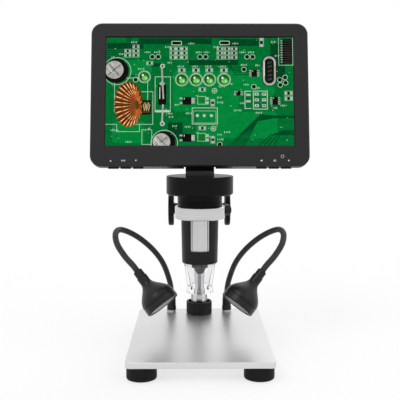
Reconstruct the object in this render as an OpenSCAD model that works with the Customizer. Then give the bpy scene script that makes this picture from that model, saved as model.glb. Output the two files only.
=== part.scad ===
// Stand microscope with a tilting seven inch monitor, two gooseneck lamps
// and a rack and pinion focus. Millimetres, Z up, X to the right seen from
// the front, Y to the back. The origin is on the table under the middle of
// the whole, which the lock knob sets a little behind the plate's middle.

/* [Base] */
// Width of the base plate
plate_w = 114; // [100:1:140]
// Depth of the base plate
plate_d = 160; // [140:1:200]
// Thickness of the base plate
plate_t = 5; // [4:0.5:8]
// Corner radius of the base plate
plate_r = 4.5; // [2:0.5:10]
// Diameter of a rubber foot
foot_d = 23.5; // [18:0.5:24]
// Height of a rubber foot
foot_h = 11; // [9:0.5:16]
// Foot centre from the side edges of the plate
foot_inset_x = 12; // [12:0.5:16]
// Foot centre from the front and back edges of the plate
foot_inset_y = 12.5; // [12:0.5:20]
// Width of the control box under the plate
box_w = 59; // [50:1:62]
// Depth of the control box
box_d = 28; // [26:1:34]
// Gap under the control box
box_lift = 2; // [1:0.5:4]

/* [Column] */
// Diameter of the column
column_d = 15.7; // [13:0.1:18]
// Length of the column above the plate
column_len = 150.4; // [130:1:200]
// Column axis from the back edge of the plate
column_inset = 15; // [14:0.5:24]
// Diameter of the ring nut at the foot of the column
collar_d = 24; // [21:0.5:30]
// Height of the ring nut
collar_h = 11.5; // [8:0.5:16]
// Width of the long grooves of the column
groove_w = 3.2; // [2:0.1:4]
// Depth of the long grooves of the column
groove_depth = 2.2; // [1:0.1:3]

/* [Focus drive] */
// Gear module of rack and pinion
gear_module = 0.75; // [0.6:0.05:0.9]
// Teeth of the pinion
pinion_teeth = 12; // [11:1:14]
// Diameter of the focus shaft
shaft_d = 5; // [4:0.5:5.5]
// Height of the focus shaft above the table
drive_z = 116.7; // [100:0.5:125]
// Diameter of a focus knob
knob_d = 31.2; // [26:0.2:36]
// Thickness of a focus knob
knob_t = 4.8; // [4:0.2:8]
// Distance over both focus knobs
knob_span = 56; // [52:1:70]
// Diameter of the lock knob behind the column
lock_knob_d = 14.2; // [10:0.2:18]

/* [Carriage and arm] */
// Width of the carriage block
block_w = 26; // [24:1:32]
// Height of the carriage block
block_h = 17.8; // [16:0.2:26]
// Microscope axis from the column axis
reach = 74.1; // [68:0.5:90]
// Outer diameter of the clamp ring
ring_d = 41.2; // [38:0.2:48]
// Height of the clamp ring
ring_h = 10.2; // [8:0.2:14]
// Width of the arm
arm_w = 16; // [12:1:20]
// Thickness of the arm plate on the block
arm_plate_t = 3.8; // [3:0.2:6]
// Direction of the ring's thumb screw, from +X towards +Y
ring_screw_angle = 35; // [20:1:50]

/* [Microscope] */
// Outer diameter of the barrel
barrel_d = 31; // [29:0.2:34]
// Outer diameter at the lower end of the barrel
barrel_low_d = 29.6; // [29.2:0.1:31]
// Bore of the barrel
barrel_bore = 27.6; // [26:0.1:28]
// Length of the barrel below the clamp ring
barrel_drop = 37; // [32:1:50]
// Width of the front window of the barrel
window_w = 15.8; // [12:0.2:18]
// Width of the back window of the barrel
back_window_w = 21; // [14:0.2:22]
// Height of the windows of the barrel
window_h = 25.6; // [18:0.2:27]
// Diameter of the ribbed neck above the ring
neck_d = 36.9; // [34:0.2:40]
// Height of the ribbed neck
neck_h = 9.8; // [8:0.2:14]
// Diameter of the round head
head_d = 55.2; // [48:0.2:64]
// Height of the round head
head_h = 15.3; // [12:0.1:20]
// Length of the clear shroud below the barrel
shroud_len = 25.2; // [18:0.2:28]
// Diameter of the lower end of the clear shroud
shroud_low_d = 21; // [18:0.2:24]

/* [Monitor] */
// Width of the monitor
mon_w = 177.5; // [170:0.5:200]
// Height of the monitor
mon_h = 119; // [114:0.5:130]
// Corner radius of the monitor
mon_r = 9; // [6:0.5:12]
// Depth of the front bezel
bezel_t = 4.2; // [4:0.1:4.4]
// Depth of the flat part of the monitor
mon_t = 11.6; // [11.4:0.2:16]
// Height of the battery bump on the back
bump_t = 10; // [9:0.5:14]
// Width of the battery bump
bump_w = 92; // [86:1:110]
// Wall of the monitor's shells
shell_t = 2.2; // [1.6:0.1:2.4]
// Width of the picture
screen_w = 153.4; // [140:0.2:154]
// Height of the picture
screen_h = 90.3; // [80:0.2:91]
// Height of the picture's centre above the monitor's centre
screen_rise = 2.8; // [1:0.2:3.4]
// Lean of the monitor from upright
mon_lean = 12; // [0:1:30]
// Hinge axis above the top of the head
hinge_rise = 19.6; // [18:0.2:24]
// Hinge axis in front of the microscope axis, negative is behind
hinge_fore = -1.9; // [-3:0.1:-1]
// Hinge axis behind the monitor's front face
hinge_depth = 13.9; // [13.4:0.1:15]
// Hinge axis above the monitor's lower edge
hinge_up = 14.3; // [14:0.05:16]
// Width of the neck block under the monitor
neck_block_w = 23.4; // [20:0.2:26]
// Depth of the neck block under the monitor
neck_block_d = 14; // [12:0.2:14.4]
// Spacing of the monitor's buttons
button_pitch = 10; // [9.5:0.1:11]
// Distance of the middle button of each row from the centre
button_row_x = 60; // [56:0.5:62]

/* [Lamps] */
// Diameter of a gooseneck
goose_d = 5.3; // [4:0.1:6]
// Diameter of a lamp's rim
lamp_d = 29.5; // [26:0.5:32]
// Length of a lamp from its collar to its face
lamp_len = 35.9; // [32:0.5:42]
// Diameter of a lamp's collar
lamp_collar_d = 9; // [8:0.2:11]
// Gooseneck foot from the plate's middle line
goose_x = 26.3; // [24:0.1:30]
// Gooseneck foot from the back edge of the plate
goose_inset = 7.5; // [7:0.5:12]

/* [Fits] */
// Radial clearance of a running fit
run_fit = 0.06; // [0.02:0.01:0.1]
// Gap between parts that only pass each other
pass_gap = 0.3; // [0.2:0.05:0.5]
// Radial gap of a press or glued fit
press_gap = 0.02; // [0:0.01:0.04]
// Slack of the pinion's teeth along the pitch line
backlash = 0.2; // [0.1:0.05:0.3]

/* [Hidden] */

$fn = 48;
eps = 0.01;
hull_fn = 32;

// Colours of the finishes
c_alu = [0.86, 0.87, 0.88];
c_steel = [0.72, 0.73, 0.75];
c_black = [0.13, 0.13, 0.14];
c_shell = [0.22, 0.22, 0.23];
c_rubber = [0.08, 0.08, 0.08];
c_board = [0.05, 0.33, 0.16];
c_clear = [0.85, 0.9, 0.95, 0.4];

// Heights of the stack, from the table up
stage_z = foot_h + plate_t;
column_y = plate_d / 2 - column_inset;
column_top = stage_z + column_len;
scope_y = column_y - reach;
block_top = drive_z + 9.1;
block_z = block_top - block_h;
ring_z = block_top - ring_h;
barrel_low = ring_z - barrel_drop;
neck_top = block_top + neck_h;
head_top = neck_top + head_h;
board_seat = block_top + 2.2;

// Rack and pinion
pressure_angle = 25;
pitch_r = gear_module * pinion_teeth / 2;
tip_r = pitch_r + gear_module;
root_r = pitch_r - 1.25 * gear_module;
base_r = pitch_r * cos(pressure_angle);
tooth_pitch = PI * gear_module;
rack_tip = column_d / 2 - 0.45;
rack_pitch_y = column_y - rack_tip + gear_module;
drive_y = rack_pitch_y - pitch_r;
rack_w = 4.4;
pinion_w = 5;
rack_slot_w = 6;
rack_root = rack_tip - 2.25 * gear_module;
rack_seat = rack_root - 2.2;
rack_low = stage_z + 14;
rack_high = column_top - 4;

// Carriage
bush_wall = 1.3;
bush_r = column_d / 2 + run_fit;
block_bore_r = bush_r + bush_wall;
block_back = column_y + block_bore_r + 2;
arm_pivot_y = column_y - 28.1;
block_front = arm_pivot_y - 9;
lock_z = drive_z + 1;
shaft_bush_r = shaft_d / 2 + 1.5;
shaft_bush_len = 6;
knob_hub_d = 9.5;

// Head and barrel
wall = 2;
drum_d = barrel_bore - 2 * pass_gap;
drum_bore = drum_d - 5.6;
drum_z = barrel_low + 9.9;
drum_h = window_h + 1.9;
window_z = barrel_low + 10.9;
carrier_d = drum_bore - 2 * run_fit;
led_hole_d = 15.4;
led_circle_r = barrel_bore / 2 - 3.8;
led_z = barrel_low + 5.4;

// Monitor, in its own frame: X across, Y back from the front face, Z up
mon_hinge = [0, hinge_depth, hinge_up - mon_h / 2];
hinge_y = scope_y - hinge_fore;
hinge_z = head_top + hinge_rise;
pin_d = 3;
barrel_r = 3.2;
tongue_w = neck_block_w - 2.6;
recess_w = neck_block_w + 2.6;
recess_top = 22.15;
ear_gap = 0.2;
plateau_drop = 8.2;
plateau_in = 7.5;
bump_foot = 3.5;
recess_wall = 1.8;
recess_front = 7.4;
recess_front_low = 5;
bump_top = mon_h / 2 - 52.5;
lcd_w = screen_w + 6.6;
lcd_low = 3.85;
lcd_t = 3.8;
glass_t = 0.5;
screw_spots = [[-40, mon_h / 2 - 5.6], [40, mon_h / 2 - 5.6],
    [-mon_w / 2 + 5.5, 35], [mon_w / 2 - 5.5, 35],
    [-mon_w / 2 + 8.7, -mon_h / 2 + 6], [mon_w / 2 - 8.7, -mon_h / 2 + 6]];
bump_lip = 1.6;
door_w = 74.4;
door_h = 29.2;
door_z = -17.3;
door_rib_pitch = 1.3;
button_w = 8.5;
button_t = 2.4;
button_out = 1.1;
button_travel = 0.7;
button_y = 5.6;

// Ports in the monitor's right side: height, length, thickness, depth of the shell, place from the front
board_y = 7;
board_t = 1;
port_y = board_y - 1.4;
ports = [[2.3, 7.6, 2.8, 6, port_y], [-15.2, 13, 2.2, 6, port_y], [-26, 2, 2, 3, port_y],
    [-40, 11.2, 4.8, 6.5, port_y + 1.3]];
main_jack = ports[3];

// Gooseneck of the right lamp, foot to collar, as the wire is bent, in steps from its foot
socket_t = 1.3;
ferrule_h = 12.6;
goose_foot = [goose_x, plate_d / 2 - goose_inset, stage_z + socket_t + ferrule_h - 5];
lamp_top = goose_foot + [25.5, -87.8, 47.3];
lamp_aim = [-21.9, -9.8, -26.7];
lamp_dir = lamp_aim / norm(lamp_aim);
collar_in = 8;
goose_bends = [[0, 0, 0], [0, 0, 7], [1.7, -2, 20.1], [7.2, -9.5, 38.1], [15.7, -16.5, 52.1],
    [26.7, -25.5, 64.1], [36.7, -35.5, 72.1], [43.7, -47.5, 76.1], [46.2, -59.5, 74.1],
    [43.7, -70.5, 67.1], [36.7, -79.5, 58.6]];
goose_route = concat([for (p = goose_bends) goose_foot + p],
    [lamp_top - 6 * lamp_dir, lamp_top - lamp_dir, lamp_top + collar_in * lamp_dir]);
goose_sides = 10;
goose_steps = 4;

// ---------- small helpers ----------

module bore(d, h, z = 0) {
    translate([0, 0, z - eps])
        cylinder(d = d, h = h + 2 * eps);
}

module rod_x(d, x0, x1) {
    translate([x0, 0, 0])
        rotate([0, 90, 0])
            cylinder(d = d, h = x1 - x0);
}

module rounded_rect(w, h, r) {
    square([w - 2 * r, h], center = true);
    square([w, h - 2 * r], center = true);
    for (sx = [-1, 1], sy = [-1, 1])
        translate([sx * (w / 2 - r), sy * (h / 2 - r)])
            circle(r);
}

// A plate standing in the XZ plane from y0 back to y1
module slab(w, h, r, y0, y1) {
    translate([0, y1, 0])
        rotate([90, 0, 0])
            linear_extrude(y1 - y0)
                rounded_rect(w, h, r);
}

module block_at(x0, x1, y0, y1, z0, z1) {
    translate([x0, y0, z0])
        cube([x1 - x0, y1 - y0, z1 - z0]);
}

// A rod along Y from y0 to y1
module rod_y(d, y0, y1) {
    translate([0, y1, 0])
        rotate([90, 0, 0])
            cylinder(d = d, h = y1 - y0);
}

module ring_of(n, start = 0) {
    for (i = [0:n - 1])
        rotate([0, 0, start + i * 360 / n])
            children();
}

module at_scope() {
    translate([0, scope_y, 0])
        children();
}

module at_monitor() {
    translate([0, hinge_y, hinge_z])
        rotate([-mon_lean, 0, 0])
            translate(-mon_hinge)
                children();
}

module at_lamp() {
    translate(lamp_top)
        rotate([0, acos(lamp_dir[2]), atan2(lamp_dir[1], lamp_dir[0])])
            children();
}

// ---------- base ----------

module plate_outline() {
    rounded_rect(plate_w, plate_d, plate_r);
}

module foot_spots() {
    for (sx = [-1, 1], sy = [-1, 1])
        translate([sx * (plate_w / 2 - foot_inset_x), sy * (plate_d / 2 - foot_inset_y), 0])
            children();
}

box_back = plate_d / 2 - 0.8;
box_screw_x = box_w / 2 - 7;
box_screw_y = box_back - box_d + 4.9;
screw_d = 3;
screw_head_d = 5.6;
screw_head_z = box_lift + 1.8;
screw_end = stage_z - 1.5;

module box_screw_spots() {
    for (sx = [-1, 1])
        translate([sx * box_screw_x, box_screw_y, 0])
            children();
}

module goose_spots() {
    for (sx = [-1, 1])
        translate([sx * goose_x, plate_d / 2 - goose_inset, 0])
            children();
}

bolt_d = 6;
socket_shank_d = 6;
socket_flange_d = 8.9;

module base_plate() {
    color(c_alu)
        difference() {
            translate([0, 0, foot_h])
                linear_extrude(plate_t)
                    plate_outline();
            translate([0, column_y, 0])
                bore(bolt_d + 0.4, plate_t, foot_h);
            goose_spots()
                bore(socket_shank_d, plate_t, foot_h);
            foot_spots()
                bore(screw_d, screw_end - foot_h + 0.5, foot_h);
            box_screw_spots()
                bore(screw_d, screw_end - foot_h + 0.5, foot_h);
        }
}

module rubber_feet() {
    color(c_rubber)
        foot_spots()
            difference() {
                rotate_extrude()
                    polygon([[0, 0], [foot_d / 2 - 1.2, 0], [foot_d / 2 - 0.35, 0.35],
                        [foot_d / 2, 1.2], [foot_d / 2, foot_h - 0.8],
                        [foot_d / 2 - 0.6, foot_h], [0, foot_h]]);
                bore(screw_d + 0.3, foot_h);
                bore(9, screw_head_z);
            }
}

module pan_screw() {
    translate([0, 0, screw_head_z - 1.6])
        difference() {
            cylinder(d = screw_head_d, h = 1.6);
            for (a = [0, 90])
                rotate([0, 0, a])
                    translate([-1.6, -0.35, -eps])
                        cube([3.2, 0.7, 0.9]);
        }
    translate([0, 0, screw_head_z - eps])
        cylinder(d = screw_d, h = screw_end - screw_head_z);
}

module base_screws() {
    color(c_steel) {
        foot_spots()
            pan_screw();
        box_screw_spots()
            pan_screw();
    }
}

// Section of the column: round with four long grooves, the front one holding the rack
module column_section() {
    r = column_d / 2;
    difference() {
        circle(r);
        for (a = [0, 90, 180])
            rotate(a)
                translate([r - groove_depth, -groove_w / 2])
                    square([groove_depth + 1, groove_w]);
        for (a = [45:90:315])
            rotate(a)
                translate([r + 0.7, 0])
                    circle(1.2, $fn = 24);
        translate([-rack_slot_w / 2, -r - 1])
            square([rack_slot_w, r + 1 - rack_root]);
        translate([-rack_w / 2, -r - 1])
            square([rack_w, r + 1 - rack_seat]);
    }
}

column_thread = 18;

module column() {
    color(c_alu)
        translate([0, column_y, 0])
            difference() {
                translate([0, 0, stage_z])
                    linear_extrude(column_len)
                        column_section();
                bore(bolt_d, column_thread, stage_z);
            }
}

module column_bolt() {
    head_d = 10.5;
    head_h = 3.5;
    color(c_steel)
        translate([0, column_y, foot_h - head_h])
            difference() {
                union() {
                    cylinder(d = head_d, h = head_h);
                    cylinder(d = bolt_d, h = head_h + plate_t + column_thread - 1);
                }
                translate([0, 0, -eps])
                    cylinder(d = 4.6, h = 2.2, $fn = 6);
            }
}

module column_collar() {
    r = collar_d / 2;
    bore_r = column_d / 2 + 0.1;
    color(c_black)
        translate([0, column_y, stage_z])
            difference() {
                rotate_extrude()
                    polygon([[bore_r, 0], [r - 0.6, 0], [r, 0.6], [r, collar_h - 0.5],
                        [r - 0.5, collar_h], [r - 1.6, collar_h], [r - 1.9, collar_h - 2.4],
                        [bore_r, collar_h - 2.4]]);
                ring_of(16)
                    translate([r + 0.5, 0, 1.2])
                        cylinder(r = 0.9, h = collar_h, $fn = 16);
            }
    color(c_black)
        translate([0, column_y, stage_z + collar_h - 2.4 - eps])
            ring_of(4, 45)
                block_at(bore_r, r - 1.5, -0.9, 0.9, 0, 2.2);
}

rack_gap_half = tooth_pitch / 4;
rack_slope = gear_module * tan(pressure_angle);

// Rack: trapezoid teeth towards the pinion, with a gap level with the focus shaft
module rack() {
    teeth = floor((rack_high - rack_low) / tooth_pitch) - 1;
    first = drive_z + tooth_pitch / 2 - tooth_pitch * floor((drive_z - rack_low - tooth_pitch) / tooth_pitch);
    half = tooth_pitch / 4;
    out = column_y - rack_tip;
    root = column_y - rack_root;
    seat = column_y - rack_seat;
    deep = 1.25 * rack_slope;
    flanks = [for (i = [0:teeth - 1])
        let (z = first + i * tooth_pitch)
        each [[root, z - half - deep], [out, z - half + rack_slope],
            [out, z + half - rack_slope], [root, z + half + deep]]];
    color(c_steel)
        translate([-rack_w / 2, 0, 0])
            rotate([90, 0, 90])
                linear_extrude(rack_w)
                    polygon(concat([[seat, first - tooth_pitch]], [[root, first - tooth_pitch]],
                        flanks, [[root, first + teeth * tooth_pitch]],
                        [[seat, first + teeth * tooth_pitch]]));
}

module lamp_sockets() {
    color(c_steel)
        goose_spots()
            difference() {
                union() {
                    translate([0, 0, foot_h])
                        cylinder(d = socket_shank_d, h = plate_t + eps);
                    translate([0, 0, stage_z])
                        cylinder(d = socket_flange_d, h = socket_t);
                    translate([0, 0, stage_z])
                        cylinder(d = 4.4, h = socket_t + 5);
                }
                bore(2.6, plate_t + socket_t + 5, foot_h);
            }
}

// ---------- control box under the plate ----------

wheel_x = 14.4;
wheel_d = 14;
wheel_y = box_back - wheel_d / 2 - 0.8;
wheel_z = box_lift + 3.6;
usb_x = -13;
micro_x = 1;
box_wall = 1.5;
box_h = foot_h - box_lift;
board_z = box_lift + box_wall + 0.8;

module control_box() {
    y0 = box_back - box_d;
    color(c_black)
        difference() {
            union() {
                difference() {
                    translate([0, (y0 + box_back) / 2, box_lift])
                        linear_extrude(box_h)
                            rounded_rect(box_w, box_d, 2.2);
                    block_at(-box_w / 2 + box_wall, box_w / 2 - box_wall, y0 + box_wall,
                        box_back - box_wall, box_lift + box_wall, foot_h + 1);
                }
                box_screw_spots()
                    translate([0, 0, box_lift])
                        cylinder(d = 8, h = box_h);
            }
            box_screw_spots() {
                bore(screw_d + 0.3, box_h, box_lift);
                bore(screw_head_d + 0.5, screw_head_z - box_lift, box_lift);
            }
            block_at(usb_x - 6.7, usb_x + 6.7, box_back - 4, box_back + 1, board_z + 1, board_z + 5.7);
            translate([micro_x, box_back - 4, board_z + 2.9])
                rotate([-90, 0, 0])
                    linear_extrude(5)
                        rounded_rect(8, 3, 1);
            block_at(wheel_x - 5.5, wheel_x + 5.5, box_back - 3, box_back + 1, wheel_z - 0.3, foot_h - 0.8);
        }
}

module control_board() {
    y0 = box_back - box_d + box_wall + 0.3;
    color(c_board)
        difference() {
            block_at(-box_w / 2 + box_wall + 0.3, box_w / 2 - box_wall - 0.3, y0,
                box_back - box_wall - 0.3, board_z, board_z + 1.2);
            box_screw_spots()
                bore(8.6, 3, board_z - 1);
        }
    // legs that stand on the floor of the box
    color(c_board)
        for (x = [-box_w / 2 + 4, box_w / 2 - 5.5], y = [box_back - 5, box_back - 15])
            block_at(x, x + 1.5, y, y + 1.5, box_lift + box_wall, board_z + eps);
    color(c_black) {
        block_at(-16, -7, y0 + 3, y0 + 8, board_z + 1.2 - eps, board_z + 2.6);
        block_at(-2, 4, y0 + 2.5, y0 + 7.5, board_z + 1.2 - eps, board_z + 2.4);
        translate([wheel_x, wheel_y, board_z + 1.2 - eps])
            cylinder(d = 2.9, h = 4.2);
    }
}

module power_ports() {
    color(c_steel) {
        difference() {
            block_at(usb_x - 6.5, usb_x + 6.5, box_back - 13.5, box_back - 0.3, board_z + 1.2, board_z + 5.5);
            block_at(usb_x - 6.1, usb_x + 6.1, box_back - 12, box_back + 1, board_z + 1.6, board_z + 5.1);
        }
        difference() {
            translate([micro_x, box_back - 6, board_z + 2.75])
                rotate([-90, 0, 0])
                    linear_extrude(5.6)
                        rounded_rect(7.6, 2.6, 0.9);
            translate([micro_x, box_back - 4.5, board_z + 2.75])
                rotate([-90, 0, 0])
                    linear_extrude(5.6)
                        rounded_rect(6.9, 1.9, 0.6);
        }
    }
    color(c_black) {
        block_at(usb_x - 5.4, usb_x + 5.4, box_back - 12.5, box_back - 2, board_z + 1.5, board_z + 3);
        block_at(micro_x - 2, micro_x + 2, box_back - 5, box_back - 1.4, board_z + 2.5, board_z + 3);
    }
}

module dimmer_wheel() {
    color(c_black)
        translate([wheel_x, wheel_y, wheel_z])
            difference() {
                cylinder(d = wheel_d, h = 2.6);
                bore(2.9 + 2 * run_fit, 3);
                ring_of(24)
                    translate([wheel_d / 2 + 0.35, 0, -eps])
                        cylinder(r = 0.7, h = 4, $fn = 16);
            }
}

// ---------- carriage ----------

module block_outline() {
    half = block_w / 2;
    polygon([[-10, block_front], [10, block_front], [half, block_front + 5], [half, block_back - 5],
        [-half, block_back - 5], [-half, block_front + 5]]);
    translate([-half + 5, block_back - 6])
        square([block_w - 10, 6]);
    for (s = [-1, 1])
        translate([s * (half - 5), block_back - 5])
            circle(5);
}

module carriage_block() {
    color(c_alu)
        difference() {
            translate([0, 0, block_z])
                linear_extrude(block_h)
                    block_outline();
            translate([0, column_y, 0]) {
                bore(column_d + 1, block_h, block_z);
                bore(2 * block_bore_r, bush_low_h, block_z);
                bore(2 * block_bore_r, bush_high_h, block_top - bush_high_h);
            }
            translate([0, drive_y, drive_z]) {
                rod_x(2 * (tip_r + 0.35), -pinion_w / 2 - 0.6, pinion_w / 2 + 0.6);
                rod_x(2 * shaft_bush_r, -block_w, block_w);
            }
            translate([0, 0, lock_z])
                rod_y(4.1, column_y, block_back + 1);
            translate([0, arm_pivot_y, 0])
                bore(2.5, 9, block_top - 9);
        }
}

bush_low_h = drive_z - tip_r - 0.15 - block_z;
bush_high_h = block_top - drive_z - tip_r - 0.15;

module carriage_bushes() {
    color([0.9, 0.88, 0.8])
        translate([0, column_y, 0])
            for (b = [[block_z + 0.8, bush_low_h - 0.8], [block_top - bush_high_h, bush_high_h - 0.8]])
                translate([0, 0, b[0]])
                    difference() {
                        cylinder(r = block_bore_r, h = b[1]);
                        bore(2 * bush_r, b[1]);
                    }
    color([0.72, 0.55, 0.25])
        translate([0, drive_y, drive_z])
            for (s = [-1, 1])
                mirror([s < 0 ? 1 : 0, 0, 0])
                    difference() {
                        rod_x(2 * shaft_bush_r, block_w / 2 - shaft_bush_len, block_w / 2);
                        rod_x(shaft_d + 2 * run_fit, 0, block_w);
                    }
}

arm_low = block_top - 9;
arm_gap = 0.2;
arm_disc_r = 12.5;

module support_arm() {
    ring_r = ring_d / 2;
    color(c_alu)
        difference() {
            union() {
                at_scope()
                    translate([0, 0, ring_z])
                        rotate_extrude()
                            polygon([[0, 0], [ring_r - 0.5, 0], [ring_r, 0.5], [ring_r, ring_h - 0.5],
                                [ring_r - 0.5, ring_h], [0, ring_h]]);
                block_at(-arm_w / 2, arm_w / 2, scope_y + ring_r - 3, block_front - arm_gap, arm_low, block_top + eps);
                translate([0, 0, block_top])
                    linear_extrude(arm_plate_t) {
                        translate([0, arm_pivot_y])
                            circle(arm_disc_r);
                        translate([-arm_w / 2, block_front - 7])
                            square([arm_w, 16]);
                    }
                at_scope()
                    rotate([0, 0, ring_screw_angle])
                        translate([0, 0, ring_z + ring_h / 2])
                            rod_x(8, ring_r - 3, ring_r + 1.6);
            }
            at_scope() {
                bore(barrel_d + 2 * run_fit, ring_h, ring_z);
                rotate([0, 0, ring_screw_angle])
                    translate([0, 0, ring_z + ring_h / 2])
                        rod_x(3 + 2 * run_fit, 0, ring_r + 3);
            }
            translate([0, arm_pivot_y, 0])
                bore(2.9, arm_plate_t + 1, block_top - 0.5);
        }
}

module arm_screw() {
    color(c_black)
        translate([0, arm_pivot_y, block_top + arm_plate_t])
            difference() {
                union() {
                    cylinder(d = 4.6, h = 3.3);
                    translate([0, 0, -arm_plate_t - 8])
                        cylinder(d = 2.5, h = arm_plate_t + 8 + eps);
                }
                translate([0, 0, 1.5])
                    cylinder(d = 2.3, h = 2, $fn = 6);
            }
}

module ring_screw() {
    r0 = ring_d / 2 + 2.6;
    color(c_black)
        at_scope()
            rotate([0, 0, ring_screw_angle])
                translate([0, 0, ring_z + ring_h / 2])
                    difference() {
                        union() {
                            rod_x(3, barrel_d / 2 + run_fit, r0 + eps);
                            rod_x(7, r0 - 0.9, r0 + eps);
                            rod_x(9.6, r0, r0 + 6.4);
                        }
                        rod_x(5, r0 + 5, r0 + 7);
                        for (i = [0:17])
                            rotate([i * 20, 0, 0])
                                translate([0, 0, 5.1])
                                    rod_x(0.9, r0 - 1, r0 + 7, $fn = 16);
                    }
}

lock_knob_len = 7.4;

module lock_knob() {
    y0 = block_back + 0.2;
    color(c_black)
        translate([0, 0, lock_z])
            difference() {
                union() {
                    rod_y(4, column_y + column_d / 2 - 0.1, y0 + 1);
                    rod_y(7.4, y0, y0 + 2.6);
                    translate([0, y0 + 2.2, 0])
                        rotate([-90, 0, 0])
                            cylinder(d1 = 8, d2 = lock_knob_d, h = 1.4);
                    rod_y(lock_knob_d, y0 + 3.6 - eps, y0 + lock_knob_len);
                }
                rod_y(lock_knob_d - 5, y0 + lock_knob_len - 0.7, y0 + 9);
                for (i = [0:19])
                    rotate([0, i * 18, 0])
                        translate([lock_knob_d / 2 + 0.25, 0, 0])
                            rod_y(1.3, y0 + 1, y0 + 9, $fn = 16);
            }
}

// ---------- focus drive ----------

function involute(r, a0) =
    let (t = sqrt(max(0, pow(r / base_r, 2) - 1)))
    a0 - (t * 180 / PI - atan(t));

function polar(r, a) = [r * cos(a), r * sin(a)];

module pinion() {
    half = (tooth_pitch - backlash) / 4 / pitch_r * 180 / PI;
    t_pitch = tan(pressure_angle);
    foot = half + t_pitch * 180 / PI - pressure_angle;
    radii = [for (i = [0:5]) base_r + (tip_r - base_r) * i / 5];
    step = 360 / pinion_teeth;
    color(c_steel)
        translate([-pinion_w / 2, drive_y, drive_z])
            rotate([90, 0, 90])
                difference() {
                    linear_extrude(pinion_w)
                        polygon([for (k = [0:pinion_teeth - 1])
                            let (c = k * step)
                            each concat([polar(root_r, c - foot)],
                                [for (r = radii) polar(r, c - involute(r, foot))],
                                [for (i = [5:-1:0]) polar(radii[i], c + involute(radii[i], foot))],
                                [polar(root_r, c + foot)])]);
                    bore(shaft_d + 2 * press_gap, pinion_w);
                }
}

// Depth of the dish in a focus knob's face
knob_dish = 3.2;

module focus_shaft() {
    color(c_steel)
        translate([0, drive_y, drive_z])
            rod_x(shaft_d, -knob_span / 2 + knob_dish + 0.6, knob_span / 2 - knob_dish - 0.6);
}

module focus_knob() {
    r = knob_d / 2;
    h = knob_t;
    d = knob_dish;
    hub = knob_span / 2 - block_w / 2 - 0.4;
    difference() {
        rotate_extrude()
            polygon([[0, h - d], [2.9, h - d], [3.2, h - d + 1.1], [4.6, h - d + 1.1], [5, h - d + 0.2],
                [9.6, h - d + 0.2], [11, h - 0.7], [11.9, h - 0.1], [12.2, h], [r - 0.8, h], [r, h - 0.8], [r, 0.7], [r - 0.7, 0], [6, 0],
                [knob_hub_d / 2, -1], [knob_hub_d / 2, h - hub], [0, h - hub]]);
        bore(shaft_d + 2 * press_gap, hub - knob_dish - 0.4, h - hub);
        ring_of(48)
            translate([r + 0.3, 0, -eps])
                cylinder(r = 0.55, h = h + 1, $fn = 13);
    }
}

module focus_knobs() {
    color(c_black)
        translate([0, drive_y, drive_z])
            for (s = [-1, 1])
                mirror([s < 0 ? 1 : 0, 0, 0])
                    translate([knob_span / 2 - knob_t, 0, 0])
                        rotate([0, 90, 0])
                            focus_knob();
}

// ---------- microscope ----------

cap_t = 2;

module head_housing() {
    r = head_d / 2;
    color(c_black)
        at_scope()
            translate([0, 0, neck_top])
                rotate_extrude()
                    polygon([[16.6, 0], [r - 1, 0], [r, 1], [r, head_h - cap_t],
                        [r - wall, head_h - cap_t], [r - wall, wall], [16.6, wall]]);
}

neck_bolt_x = 6;

module head_cap() {
    r = head_d / 2;
    color([0.3, 0.3, 0.31])
        at_scope()
            difference() {
                translate([0, 0, head_top - cap_t])
                    rotate_extrude()
                        polygon([[0, 0], [r, 0], [r, cap_t - 0.6], [r - 0.6, cap_t], [0, cap_t]]);
                for (s = [-1, 1])
                    translate([s * neck_bolt_x, neck_mid - scope_y, 0])
                        bore(3, cap_t, head_top - cap_t);
            }
    // lip that centres the cap in the housing
    color([0.3, 0.3, 0.31])
        at_scope()
            translate([0, 0, head_top - cap_t - 1.8])
                difference() {
                    cylinder(r = r - wall - 0.1, h = 1.8 + eps);
                    bore(2 * (r - wall - 1.8), 1.8);
                }
}

neck_mid = scope_y + 1.1;
neck_front = neck_mid - neck_block_d / 2;
neck_back = neck_mid + neck_block_d / 2;

// Neck between head and monitor: a block that narrows into the hinge barrel
module hinge_neck() {
    shoulder = head_top + 4.1;
    bend = head_top + 10.1;
    color(c_black)
        difference() {
            union() {
                translate([-neck_block_w / 2, 0, 0])
                    rotate([90, 0, 90])
                        linear_extrude(neck_block_w)
                            polygon([[neck_front, head_top], [neck_front, shoulder],
                                [hinge_y - barrel_r, bend], [neck_back, bend],
                                [neck_back, head_top]]);
                translate([-tongue_w / 2, 0, 0])
                    rotate([90, 0, 90])
                        linear_extrude(tongue_w) {
                            polygon([[hinge_y - barrel_r, bend - 1], [hinge_y - barrel_r, hinge_z],
                                [hinge_y + barrel_r, hinge_z], [neck_back, bend], [neck_back, bend - 1]]);
                            translate([hinge_y, hinge_z])
                                circle(barrel_r);
                        }
            }
            translate([0, hinge_y, hinge_z])
                rod_x(pin_d + 2 * run_fit, -neck_block_w, neck_block_w);
            for (s = [-1, 1])
                translate([s * neck_bolt_x, neck_mid, 0])
                    bore(2.5, 8, head_top);
        }
}

module neck_bolts() {
    color(c_steel)
        for (s = [-1, 1])
            translate([s * neck_bolt_x, neck_mid, 0]) {
                translate([0, 0, head_top - cap_t - 2])
                    cylinder(d = 5, h = 2);
                translate([0, 0, head_top - cap_t - eps])
                    cylinder(d = 2.5, h = cap_t + 7);
            }
}

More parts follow.
